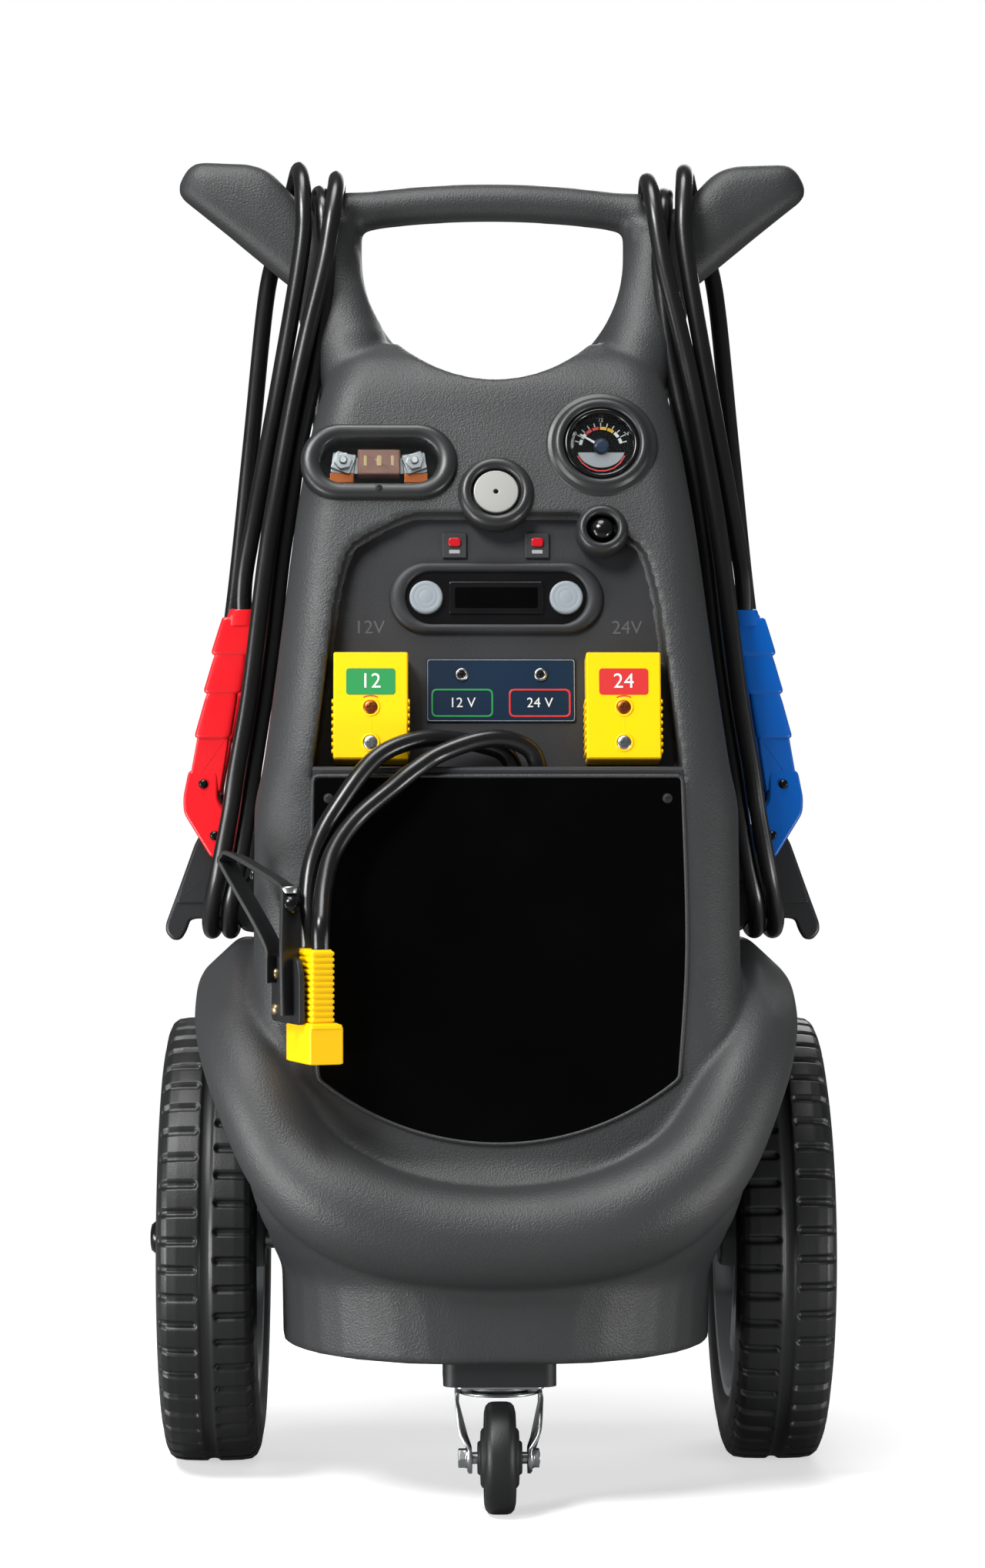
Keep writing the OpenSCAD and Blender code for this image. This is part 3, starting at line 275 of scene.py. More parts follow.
@dataclass(frozen=True)
class Finish:
    """A surface finish: a base colour with fine variation, grain and gloss, and a slot name.

    The grain is a noise bump whose grain_mm is the distance between bumps.
    """

    name: str
    slot: str
    colour: str
    shade: str
    roughness: float
    metallic: float = 0.0
    grain_mm: float = 1.2
    grain_height_mm: float = 0.05
    patch_mm: float = 60.0
    coat: float = 0.0
    specular: float = 0.5
    transmission: float = 0.0
    ior: float = 1.5
    alpha: float = 1.0
    stretch: tuple[float, float, float] = (1.0, 1.0, 1.0)

    def build(self) -> bpy.types.Material:
        """Make the material once and give it back each time.

        Returns:
            The material, of nodes that read Object coordinates.
        """
        found = bpy.data.materials.get(self.name)
        if found is not None:
            return found
        material = bpy.data.materials.new(self.name)
        material.use_nodes = True
        tree = material.node_tree
        tree.nodes.clear()
        where = add_node(tree, "ShaderNodeTexCoord").outputs["Object"]
        grain_place = add_node(tree, "ShaderNodeMapping", {"Vector": where, "Scale": self.stretch}).outputs[0]
        patches = add_node(tree, "ShaderNodeTexNoise", {"Vector": where, "Scale": 1000.0 / self.patch_mm,
                                                        "Detail": 3.0})
        blend = add_node(tree, "ShaderNodeMix", {0: patches.outputs["Fac"], 6: linear(self.colour),
                                                 7: linear(self.shade)}, data_type="RGBA")
        grain = add_node(tree, "ShaderNodeTexNoise", {"Vector": grain_place, "Scale": 1000.0 / self.grain_mm,
                                                      "Detail": 2.0})
        gloss = add_node(tree, "ShaderNodeMapRange", {"Value": patches.outputs["Fac"], "From Min": 0.3, "From Max": 0.7,
                                                      "To Min": self.roughness - 0.04, "To Max": self.roughness + 0.05})
        bump = add_node(tree, "ShaderNodeBump", {"Height": grain.outputs["Fac"], "Strength": 1.0,
                                                 "Distance": self.grain_height_mm / 1000.0})
        surface = add_node(tree, "ShaderNodeBsdfPrincipled", {
            "Base Color": blend.outputs[2], "Roughness": gloss.outputs[0], "Normal": bump.outputs[0],
            "Metallic": self.metallic, "Specular IOR Level": self.specular, "Coat Weight": self.coat,
            "Transmission Weight": self.transmission, "IOR": self.ior, "Alpha": self.alpha})
        add_node(tree, "ShaderNodeOutputMaterial", {"Surface": surface.outputs[0]})
        return material


class Finishes(Enum):
    """Every finish of the cart, each named for what the real surface is made of."""

    # Impact ABS from a spark-eroded mould: a fine even grain under soft, wide highlights.
    SHELL = Finish("moulded_abs_charcoal", "body_plastic", "#323334", "#2c2d2e", 0.48, grain_mm=1.3,
                   grain_height_mm=0.42)
    # The same ABS on the recessed panel, its colour a shade darker as painted shade of the recess.
    PANEL = Finish("moulded_abs_panel", "body_plastic", "#2b2c2f", "#27282a", 0.50, grain_mm=1.3,
                   grain_height_mm=0.10, specular=0.4)
    # The raised rings, polished by hand in the mould for tighter highlights; their colour is darkened as painted shade.
    BOSS = Finish("moulded_abs_ring", "body_plastic", "#262728", "#222324", 0.36)
    # Inside of the fuse bay: black moulding, painted darker still as the shade that the bay holds.
    BAY = Finish("moulded_phenolic_black", "dark_plastic", "#0a0a0b", "#0c0c0d", 0.6, grain_mm=1.0, specular=0.2)
    # Plain black mouldings: dull, with a broad grey sheen; also the dark discs that are painted shade in the alarm's
    # and test button's pockets.
    DARK = Finish("moulded_polypropylene_black", "dark_plastic", "#1d1e20", "#191a1b", 0.5, grain_mm=1.0,
                  specular=0.4)
    # Polished ABS: near mirror, no grain to see; also the black plug that is painted shade in the alarm disc's hole.
    GLOSS_BLACK = Finish("polished_abs_black", "black_gloss", "#0b0b0d", "#0e0e10", 0.16, grain_mm=8.0,
                         grain_height_mm=0.02)
    # Black printed film: deep and flat, with hardly a reflection.
    PRINT_BLACK = Finish("printed_film_black", "black_gloss", "#020202", "#030303", 0.32, grain_mm=0.9,
                         grain_height_mm=0.01, specular=0.05)
    # Powder coat over steel: a slight orange-peel skin.
    POWDER = Finish("powder_coated_steel_black", "painted_steel", "#232426", "#1d1e20", 0.38, grain_mm=1.6,
                    grain_height_mm=0.06)
    # Zinc plate: cool bright metal, mottled by the bath.
    ZINC = Finish("zinc_plated_steel", "zinc", "#b9bcbd", "#a3a6a8", 0.30, metallic=1.0, grain_mm=2.4,
                  grain_height_mm=0.04, patch_mm=9.0)
    # Silver paint: pale, with a faint metal glow.
    SATIN_SILVER = Finish("satin_painted_silver", "silver", "#a9a9a5", "#9f9f9c", 0.36, metallic=0.25, grain_mm=0.6,
                          grain_height_mm=0.02)
    # Satin acrylic push buttons: cooler and duller than the disc.
    BUTTON = Finish("satin_acrylic_grey", "silver", "#8d959b", "#838b91", 0.40, grain_mm=0.8, grain_height_mm=0.02)
    # Bare copper bars and screws: warm metal, browned in patches.
    COPPER = Finish("bare_copper", "copper", "#a4592a", "#874520", 0.36, metallic=0.9, patch_mm=8.0)
    # The fuse's moulding: matt brown, a little uneven.
    FUSE = Finish("moulded_phenolic_brown", "fuse_brown", "#7d5648", "#6e4a3e", 0.55, grain_mm=1.0, patch_mm=10.0)
    # Thin clear windows: seen through, with only a soft glint.
    CLEAR = Finish("clear_polycarbonate", "clear", "#f4f7f8", "#f0f4f5", 0.06, transmission=1.0, ior=1.2,
                   grain_height_mm=0.0)
    # Unlit lamp lens: a deep red with a small bright glint.
    LAMP_RED = Finish("red_lamp_lens", "lamp_red", "#c01822", "#a8121c", 0.2, grain_mm=1.5, grain_height_mm=0.02)
    # Navy printed film: flat and dark.
    PRINT_BLUE = Finish("printed_film_navy", "label_blue", "#10283f", "#0e2338", 0.4, grain_height_mm=0.01,
                        specular=0.25)
    # Connector housings: strong even yellow, softly glossy.
    YELLOW = Finish("moulded_polycarbonate_yellow", "connector_yellow", "#ffcc00", "#f9c200", 0.38, specular=0.3)
    # The clamps' nylon: saturated, with a light mould grain.
    RED = Finish("moulded_nylon_red", "clamp_red", "#e2141f", "#d8101b", 0.34, grain_mm=1.6)
    BLUE = Finish("moulded_nylon_blue", "clamp_blue", "#0062c2", "#0058b2", 0.34, grain_mm=1.6, specular=0.35)
    # Soft PVC over copper strands: smooth, waxy, with long soft highlights.
    CABLE = Finish("soft_pvc_jacket_black", "cable_jacket", "#121213", "#0e0e0e", 0.28, grain_mm=3.0,
                   grain_height_mm=0.03, specular=0.6)
    # Tyre rubber: near black, with a dusty sheen on its shoulders.
    TYRE = Finish("moulded_tyre_rubber", "tyre_rubber", "#161718", "#111213", 0.44, grain_mm=1.5,
                  grain_height_mm=0.10)
    # The wheels' nylon: an even mid grey.
    RIM = Finish("moulded_nylon_grey", "rim_grey", "#85888a", "#7c7f81", 0.45)
    # Battery cases: plain dark polypropylene.
    BATTERY = Finish("moulded_battery_case", "battery_case", "#26272a", "#222326", 0.5)
    # Circuit board: green lacquer over copper.
    BOARD = Finish("solder_masked_board", "board_green", "#1d5a33", "#1a4f2e", 0.35, grain_mm=2.0)
    # Inks: flat colour, smooth to the eye.
    WHITE_INK = Finish("white_screen_ink", "silver", "#e6e7e4", "#dcddda", 0.45, grain_height_mm=0.01)
    GREY_INK = Finish("grey_screen_ink", "silver", "#9a9da0", "#8f9295", 0.45, grain_height_mm=0.01)
    FAINT_INK = Finish("worn_grey_pad_print", "silver", "#56575a", "#4a4b4e", 0.5, grain_height_mm=0.01)
    GREEN_INK = Finish("green_screen_ink", "board_green", "#1f8f4a", "#1b8443", 0.45, grain_height_mm=0.01)
    RED_INK = Finish("red_screen_ink", "lamp_red", "#cf2a2a", "#c02424", 0.45, grain_height_mm=0.01)
    YELLOW_INK = Finish("yellow_screen_ink", "connector_yellow", "#e8b322", "#dca81c", 0.45, grain_height_mm=0.01)
    # Brass-plated screws: pale gold metal.
    BRASS = Finish("brass_plated_steel", "zinc", "#b7a27a", "#a08c66", 0.35, metallic=0.9, grain_mm=2.0,
                   patch_mm=8.0)
    # The pointer's paint: matt white.
    NEEDLE = Finish("painted_needle_white", "silver", "#e9e9e6", "#e2e2df", 0.4, grain_height_mm=0.01)


def dress(obj: Piece, finish: Finishes) -> None:
    """Give every face of an object one finish."""
    obj.data.materials.clear()
    obj.data.materials.append(finish.value.build())


def settle(obj: Piece, finish: Finishes, body: str = CART, replaces: Iterable[str] = ()) -> Piece:
    """Dress a new piece, tie it to its body and hide the CAD nodes that it stands for.

    Args:
        obj: The finished piece, at the origin.
        finish: Its main finish.
        body: The CAD body that it moves with.
        replaces: CAD nodes that it stands for.

    Returns:
        The same object.
    """
    if not obj.data.materials:
        dress(obj, finish)
    if len(obj.data.polygons) < MOST_WEIGHTED:
        even = obj.modifiers.new("even_shading", "WEIGHTED_NORMAL")
        even.keep_sharp = True
    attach(obj, body)
    names = list(replaces)
    if names:
        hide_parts(*names)
    return obj


# ---------------------------------------------------------------- planes of the front


@dataclass(frozen=True)
class Plane:
    """A leaning plane of the front: y = base + (z - from_z) slope."""

    base: float
    from_z: float
    slope: float

    @property
    def lean(self) -> float:
        """How far the plane leans back, in radians."""
        return math.atan(self.slope)

    def y(self, z: float | Array) -> float | Array:
        """How far back the plane is at a height."""
        return self.base + (z - self.from_z) * self.slope

    def stand(self, points: Array, x: float, z: float, out: float = 0.0) -> Array:
        """Carry points drawn flat (x across, y up, z outward) to a place on the plane.

        Args:
            points: Points whose last axis is x, y, z.
            x: Where they go across.
            z: Where they go in height.
            out: How far they go outward.

        Returns:
            The points in millimetres about the axle.
        """
        lean = self.lean
        across, up, far = points[..., 0], points[..., 1], points[..., 2] + out
        return np.stack([across + x, self.y(z) + up * math.sin(lean) - far * math.cos(lean),
                         z + up * math.cos(lean) + far * math.sin(lean)], axis=-1)


LABEL = Plane(-202.0, 236.0, 37.0 / 258.0)
FACE = Plane(-163.852, 502.0, 0.2985)
FLOOR = Plane(-129.852, 502.0, 0.173)
# Across and height of the middle of what stands on them.
METER_AT, ALARM_AT, TEST_AT, FUSE_AT = (74.5, 729.0), (0.0, 694.0), (74.0, 668.0), (-82.0, 716.0)
SELECTOR_AT = (0.0, 620.0)


def on(plane: Plane, at: tuple[float, float], out: float = 0.0) -> Stand:
    """What carries flat points to a place on a plane of the front."""
    return partial(plane.stand, x=at[0], z=at[1], out=out)


def shifted(stand: Stand, by: Sequence) -> Stand:
    """What moves flat points by x, y and z, and then carries them."""
    return lambda points: stand(points + np.array(by))


def sideways(x: float, y: float, z: float, side: float = 1.0) -> Stand:
    """What turns flat points (x back, y up, z outward) to face out sideways, mirrored for the left side.

    Args:
        x: How far out they go.
        y: How far back.
        z: How high.
        side: -1 for the left, 1 for the right.

    Returns:
        The function that carries points.
    """
    return lambda p: np.stack([side * (x + p[..., 2]), y + p[..., 0], z + p[..., 1]], axis=-1)


# ---------------------------------------------------------------- shapes


def lathe(profile: Sequence, segments: int = 96, closed: bool = False) -> tuple[Array, list]:
    """Spin a profile: point = (r cos a, r sin a, h) for each (r, h) of it and each angle a.

    Args:
        profile: Rows of radius and height, from the bottom axis round the outside to the top axis.
        segments: Number of angles.
        closed: Whether the profile is a closed loop away from the axis.

    Returns:
        The points and the faces.
    """
    prof = np.array(profile, dtype=float)
    a = 2 * np.pi * np.arange(segments) / segments
    rings = np.stack([prof[:, None, 0] * np.cos(a), prof[:, None, 0] * np.sin(a),
                      np.repeat(prof[:, 1:2], segments, axis=1)], axis=-1)
    count = len(prof)
    if closed:
        return rings.reshape(-1, 3), [list(f) for f in grid_faces(count + 1, segments) % (count * segments)]
    faces = [list(f) for f in grid_faces(count, segments)]
    faces += [list(range(segments))[::-1], list(range((count - 1) * segments, count * segments))]
    return rings.reshape(-1, 3), faces


def rounded(outline: Sequence, radius: float, steps: int = 5) -> Array:
    """Round each corner of an outline with a quadratic curve that starts one radius from it.

    Args:
        outline: Corners as rows of two numbers.
        radius: How far from a corner its curve begins.
        steps: Points along each curve.

    Returns:
        The rounded outline.
    """
    p = np.array(outline, dtype=float)
    before, after = np.roll(p, 1, axis=0) - p, np.roll(p, -1, axis=0) - p
    long_b, long_a = np.linalg.norm(before, axis=1), np.linalg.norm(after, axis=1)
    reach = np.minimum(radius, 0.45 * np.minimum(long_b, long_a))[:, None]
    start, end = p + before / long_b[:, None] * reach, p + after / long_a[:, None] * reach
    t = np.linspace(0.0, 1.0, steps)[None, :, None]
    return ((1 - t) ** 2 * start[:, None] + 2 * t * (1 - t) * p[:, None] + t**2 * end[:, None]).reshape(-1, 2)


def stadium(width: float, height: float, steps: int = 24) -> Array:
    """Outline of a bar with round ends, anticlockwise.

    Args:
        width: Whole width.
        height: Whole height, also the ends' diameter.
        steps: Points round each end.

    Returns:
        The outline as rows of two numbers.
    """
    a = np.linspace(-np.pi / 2, np.pi / 2, steps)
    end = np.stack([(width - height) / 2 + height / 2 * np.cos(a), height / 2 * np.sin(a)], axis=1)
    return np.vstack([end, -end])


def inset(outline: Array, by: float) -> Array:
    """Move an outline's points inwards along the mean of their two edges' normals.

    Args:
        outline: Points anticlockwise.
        by: How far; less than zero moves them out.

    Returns:
        The moved outline.
    """
    edge = unit(np.roll(outline, -1, axis=0) - outline)
    normal = np.stack([-edge[:, 1], edge[:, 0]], axis=1)
    mean = unit(normal + np.roll(normal, 1, axis=0))
    stretch = np.clip(np.sum(mean * normal, axis=1), 0.5, 1.0)[:, None]
    return outline + mean * by / stretch


def pillow(outline: Array, levels: Sequence) -> Array:
    """Rings of a flat piece: the outline moved in by each level's inset at that level's height.

    Args:
        outline: The widest outline, anticlockwise.
        levels: Rows of inset and height from bottom to top.

    Returns:
        Points as [ring, point, xyz].
    """
    return np.stack([np.column_stack([inset(outline, by), np.full(len(outline), h)]) for by, h in levels])


def edge_levels(low: float, high: float, radius: float, steps: int = 4) -> list[tuple[float, float]]:
    """Levels of a slab with rounded edges.

    Args:
        low: Bottom height.
        high: Top height.
        radius: Radius of both edges.
        steps: Points on each edge.

    Returns:
        Rows of inset and height for pillow().
    """
    a = np.linspace(0.0, np.pi / 2, steps + 1)
    foot = [(radius * (1 - math.sin(t)), low + radius * (1 - math.cos(t))) for t in a]
    head = [(radius * (1 - math.cos(t)), high - radius * (1 - math.sin(t))) for t in a]
    return foot + head


def mend(obj: Piece) -> None:
    """Turn every face of a closed mesh outwards.

    Args:
        obj: The mesh, at the origin.
    """
    work = bmesh.new()
    work.from_mesh(obj.data)
    bmesh.ops.remove_doubles(work, verts=work.verts, dist=1e-6)
    bmesh.ops.recalc_face_normals(work, faces=work.faces)
    work.to_mesh(obj.data)
    work.free()


def shell_of(name: str, rings: Array, finish: Finishes | None = None, closed_loop: bool = False) -> Piece:
    """A skin whose faces are turned outwards.

    Args:
        name: The piece's name.
        rings: Points as [ring, point, xyz].
        finish: Its finish, if it has one yet.
        closed_loop: Whether the last ring joins the first.

    Returns:
        The new object.
    """
    obj = skin(name, rings, closed_loop)
    mend(obj)
    if finish:
        dress(obj, finish)
    return obj


def solid(name: str, made: tuple[Array, list], stand: Stand, finish: Finishes | None = None) -> Piece:
    """An object from points and faces, carried to its place and facing outwards.

    Args:
        name: The piece's name.
        made: Points and faces.
        stand: What carries the points to their place.
        finish: Its finish, if it has one yet.

    Returns:
        The new object.
    """
    obj = new_object(name, stand(made[0]), made[1])
    mend(obj)
    if finish:
        dress(obj, finish)
    return obj


def join(name: str, pieces: Sequence[Piece]) -> Piece:
    """Make several objects into one.

    Args:
        name: The one's name.
        pieces: What goes into it; their own objects are gone afterwards.

    Returns:
        The joined object.
    """
    materials: list = []
    for piece in pieces:
        for material in piece.data.materials:
            if material not in materials:
                materials.append(material)
    work = bmesh.new()
    for piece in pieces:
        start = len(work.faces)
        own = list(piece.data.materials)
        work.from_mesh(piece.data)
        work.faces.ensure_lookup_table()
        if own:
            for face in work.faces[start:]:
                face.material_index = materials.index(own[min(face.material_index, len(own) - 1)])
    mesh = bpy.data.meshes.new(name)
    work.to_mesh(mesh)
    work.free()
    for material in materials:
        mesh.materials.append(material)
    for piece in pieces:
        bpy.data.objects.remove(piece)
    return link(name, mesh)


def bake(obj: Piece) -> None:
    """Work an object's modifiers into its mesh.

    Args:
        obj: The object, which keeps its name.
    """
    graph = bpy.context.evaluated_depsgraph_get()
    graph.update()
    mesh = bpy.data.meshes.new_from_object(obj.evaluated_get(graph))
    obj.modifiers.clear()
    old = obj.data
    obj.data = mesh
    bpy.data.meshes.remove(old)


def cut(obj: Piece, cutter: Piece, crease_deg: float = 32.0) -> None:
    """Cut one closed mesh out of another, and mark the edges that are then sharp.

    Args:
        obj: The object kept.
        cutter: The object cut out of it, which is then gone.
        crease_deg: Edges turned by more than this are sharp.
    """
    step = obj.modifiers.new("boolean", "BOOLEAN")
    step.operation = "DIFFERENCE"
    step.solver = "MANIFOLD"
    step.object = cutter
    bake(obj)
    obj.data.set_sharp_from_angle(angle=math.radians(crease_deg))
    bpy.data.objects.remove(cutter)


def level(obj: Piece, most_deg: float = 0.4) -> None:
    """Melt faces that lie in one plane together, and shade the large ones flat.

    Args:
        obj: The mesh.
        most_deg: How far out of one plane they may lie.
    """
    work = bmesh.new()
    work.from_mesh(obj.data)
    bmesh.ops.dissolve_limit(work, angle_limit=math.radians(most_deg), verts=work.verts, edges=work.edges)
    for face in work.faces:
        face.smooth = face.smooth and len(face.verts) <= 4
    work.to_mesh(obj.data)
    work.free()


def soften(obj: Piece, voxel_mm: float, rounds: int, factor: float = 0.5) -> None:
    """Rebuild a mesh as one skin of even squares and smooth it, which leaves moulded fillets.

    Args:
        obj: Closed meshes that may overlap.
        voxel_mm: Side of the squares.
        rounds: How often the skin is smoothed.
        factor: How much each time.
    """
    rebuild = obj.modifiers.new("rebuild", "REMESH")
    rebuild.mode = "VOXEL"
    rebuild.voxel_size = voxel_mm / 1000.0
    rebuild.use_smooth_shade = True
    if rounds:
        smooth = obj.modifiers.new("smooth", "SMOOTH")
        smooth.iterations = rounds
        smooth.factor = factor
    bake(obj)


def drum(centre: Sequence, radius: float, length: float, axis: int, segments: int) -> Piece:
    """A plain cylinder for cutting.

    Args:
        centre: Its middle.
        radius: Its radius.
        length: Its length.
        axis: 0, 1 or 2 for a cylinder along x, y or z.
        segments: Number of sides.

    Returns:
        The new object.
    """
    made = lathe([(radius, -length / 2), (radius, length / 2)], segments)
    return solid("cutter", made, lambda points: np.roll(points, axis - 2, axis=-1) + np.array(centre))


# ---------------------------------------------------------------- body


# Height, half width, front, rear, and the front corner's radius across and along.
COLUMN = [
    (102, 149, -232, 105, 125, 130), (150, 149.5, -231, 105, 115, 120), (174, 156, -229, 106, 86, 92),
    (195, 163, -225, 106, 60, 64), (216, 170, -214, 106, 50, 54), (236, 175, -202, 107, 46, 50),
    (262, 178, -198.3, 107, 40, 44), (300, 174, -192.8, 107, 34, 38),
    (340, 168, -187.1, 106, 34, 37), (372, 168, -182.5, 103, 38, 38), (470, 168, -168.4, 88, 38, 38),
    (502, 162, -163.85, 83, 32, 32), (580, 152, -140.6, 70, 30, 30), (670, 141.5, -113.7, 56, 28, 28),
    (716, 134.5, -100, 50, 28, 28), (745, 129, -91.3, 46, 28, 28), (770, 122.5, -83.9, 42, 28, 28),
    (790, 116, -70, 38, 28, 28), (806, 104, -46, 32, 26, 26),
]
# Middle line of the bumper band and fenders on one side, with its radius.
BAND = [
    (172, 96, 338, 19), (178, 66, 347, 26), (180, 20, 350, 28.5), (181, -40, 349, 29), (181, -95, 340, 29.5),
    (178, -140, 318, 30), (165.5, -178, 285, 30.5), (140, -200, 236, 32.5), (105, -214, 207.3, 35.5),
    (55, -220, 190, 35),
]
NOSE = (0, -222, 185, 34)
# The horns: distance out, lower and upper edge, half thickness.
HORN = [
    (100, 872, 915, 16), (112, 856, 911, 19), (126, 847, 909.5, 20), (138, 848, 912, 20), (148, 853, 921.5, 20.5),
    (158, 861, 932, 20.5), (167, 868.5, 938, 20.5), (178, 877.5, 941, 20), (190, 887.5, 941.5, 19.5),
    (203, 898, 942, 18.5), (213, 906, 942, 17), (220, 911.5, 939, 14), (225, 915.5, 932.5, 10), (228, 920, 926.5, 5),
]


@dataclass
class BodyShells:
    """Column, bumper band, arms, horns and cross handle as one soft-edged body in two halves."""

    voxel: float = 2.3
    smoothing: int = 7
    sides: int = 10
    opening_r: float = 95.0
    opening_z: float = 873.0
    middle_y: float = 2.0
    well_r: float = 170.0
    well_x: float = 158.0
    well_width: float = 120.0
    seam: float = 0.35
    rear_corner: float = 26.0
    # The arms beside the opening: half width and half depth of their oval, and where they end.
    arm: tuple[float, float] = (23.5, 22.0)
    arm_top: float = 898.0
    # The cross handle: half length, height of its crest, radius of its arch and of its bar.
    handle_reach: float = 108.0
    handle_z: float = 914.0
    handle_arch: float = 652.8
    handle_r: float = 13.8
    most_triangles: int = 196000

    def build(self) -> None:
        """Make the body, cut what is sunk into it, and part it into its two halves."""
        voxel = self.voxel * 1.0
        parts = [self.column(), self.band(), self.ring(), self.cross_handle(), self.horn(1.0), self.horn(-1.0),
                 self.gusset(1.0), self.gusset(-1.0)]
        whole = join("body", parts)
        soften(whole, voxel, 0)
        for cutter in self.cutters():
            cut(whole, cutter)
        soften(whole, voxel, self.smoothing)
        dress(whole, Finishes.SHELL)
        for name, side in zip(("front", "rear"), SIDES):
            half = link(name + "_moulding", whole.data.copy())
            self.part(half, side)
            self.thin(half)
            settle(half, Finishes.SHELL, replaces=[name + "_shell", "handle_" + name])
        bpy.data.objects.remove(whole)

    def part(self, half: Piece, side: float) -> None:
        """Keep one side of the seam, closed and pulled back a little from it.

        Args:
            half: The whole body's copy.
            side: -1 for the front, 1 for the rear.
        """
        near, far = (-self.seam, 500.0) if side < 0 else (-500.0, self.seam)
        corners = np.array([(x, y, z) for z in (-50.0, 1100.0) for y in (near, far) for x in (-400.0, 400.0)])
        block = new_object("cutter", corners,
                           [[0, 2, 3, 1], [4, 5, 7, 6], [0, 1, 5, 4], [2, 6, 7, 3], [0, 4, 6, 2], [1, 3, 7, 5]])
        mend(block)
        cut(half, block)
        half.data.polygons.foreach_set("use_smooth", np.full(len(half.data.polygons), True))

    def thin(self, half: Piece) -> None:
        """Collapse a half's shortest edges until it holds no more triangles than one piece may.

        Args:
            half: The front or rear half.
        """
        corners = np.empty(len(half.data.polygons), dtype=int)
        half.data.polygons.foreach_get("loop_total", corners)
        count = int((corners - 2).sum())
        if count > self.most_triangles:
            step = half.modifiers.new("thin", "DECIMATE")
            step.ratio = self.most_triangles / count
            bake(half)

    def column(self) -> Piece:
        """Loft of rounded oblongs: each size is read along the height as a smooth curve through the stations.

        Returns:
            The closed loft, with the round opening cut.
        """
        table = np.array(COLUMN, dtype=float)
        steps = [np.linspace(a, b, 7)[:-1] for a, b in zip(table[:-1, 0], table[1:, 0])]
        heights = np.concatenate(steps + [table[-1:, 0]])
        sized = np.stack([self.read(heights, table[:, 0], table[:, k]) for k in range(1, 6)], axis=1)
        w, f, r, rx, ry = (sized[:, k:k + 1] for k in range(5))
        t = np.linspace(0.0, np.pi / 2, self.sides)[None, :]
        rr = self.rear_corner
        x = np.concatenate([w - rx + rx * np.sin(t), w - rr + rr * np.cos(t), -w + rr - rr * np.sin(t),
                            -w + rx - rx * np.cos(t)], axis=1)
        y = np.concatenate([f + ry - ry * np.cos(t), r - rr + rr * np.sin(t), r - rr + rr * np.cos(t),
                            f + ry - ry * np.sin(t)], axis=1)
        z = np.repeat(heights[:, None], x.shape[1], axis=1)
        obj = shell_of("column", np.stack([x, y, z], axis=-1))
        cut(obj, self.opening())
        return obj

    def opening(self) -> Piece:
        """The drum that clears the round opening."""
        return drum((0.0, 0.0, self.opening_z), self.opening_r + 1.0, 400.0, 1, 128)

    @staticmethod
    def read(at: Array, knots: Array, values: Array) -> Array:
        """Read a curve of cubic spans with slopes that never overshoot.

        Args:
            at: Where to read it.
            knots: Where its values are known.
            values: The known values.

        Returns:
            Its values there.
        """
        width = np.diff(knots)
        rise = np.diff(values) / width
        slope = np.zeros(len(knots))
        same = rise[:-1] * rise[1:] > 0
        slope[1:-1] = np.where(same, 2 * rise[:-1] * rise[1:] / np.where(same, rise[:-1] + rise[1:], 1.0), 0.0)
        slope[0], slope[-1] = rise[0], rise[-1]
        i = np.clip(np.searchsorted(knots, at, side="right") - 1, 0, len(knots) - 2)
        t = (at - knots[i]) / width[i]
        return ((1 + 2 * t) * (1 - t) ** 2 * values[i] + t * (1 - t) ** 2 * width[i] * slope[i]
                + t**2 * (3 - 2 * t) * values[i + 1] + t**2 * (t - 1) * width[i] * slope[i + 1])

    def band(self) -> Piece:
        """A swelling tube round the nose; over the wheels a chord of 72 degrees flattens it.

        Where it is flat its radius is cos 36 over cos of the angle from the chord's middle, which leans out by 47.

        Returns:
            The closed tube.
        """
        right = np.array(BAND, dtype=float)
        line = np.vstack([right, [NOSE], right[::-1] * [-1.0, 1.0, 1.0, 1.0]])
        line = curve_through(line, 8)
        rings = tube_rings(line[:, :3], line[:, 3], 40, np.array([0.0, 0.0, 1.0]))
        spoke = rings - line[:, None, :3]
        angle = np.degrees(np.arctan2(spoke[..., 2], spoke[..., 0] * np.sign(line[:, None, 0] + 1e-9)))
        off = np.radians(np.clip(np.abs(angle - 47.0), 0.0, 36.0))
        share = np.clip((line[:, None, 2] - 312.0) / 20.0, 0.0, 1.0)
        stretch = 1.0 - share * (1.0 - np.cos(0.628) / np.cos(off))
        return shell_of("band", line[:, None, :3] + spoke * stretch[..., None])

    def ring(self) -> Piece:
        """Arms beside the round opening: an oval carried round the lower half circle and up to the handle.

        Returns:
            The closed skin.
        """
        (half, deep), top = self.arm, self.arm_top
        reach = self.opening_r + half
        a = np.linspace(np.pi, 2 * np.pi, 49)
        line = np.stack([reach * np.cos(a), self.opening_z + reach * np.sin(a)], axis=1)
        line = np.vstack([[[-reach, top], [-reach, top - 13.0]], line, [[reach, top - 13.0], [reach, top]]])
        out = unit(np.vstack([[[-1.0, 0.0]] * 2, np.stack([np.cos(a), np.sin(a)], axis=1), [[1.0, 0.0]] * 2]))
        t = 2 * np.pi * np.arange(36) / 36
        flat = line[:, None] + half * np.cos(t)[None, :, None] * out[:, None]
        y = np.broadcast_to(self.middle_y + deep * np.sin(t), flat.shape[:2])
        return shell_of("ring", np.stack([flat[..., 0], y, flat[..., 1]], axis=-1))

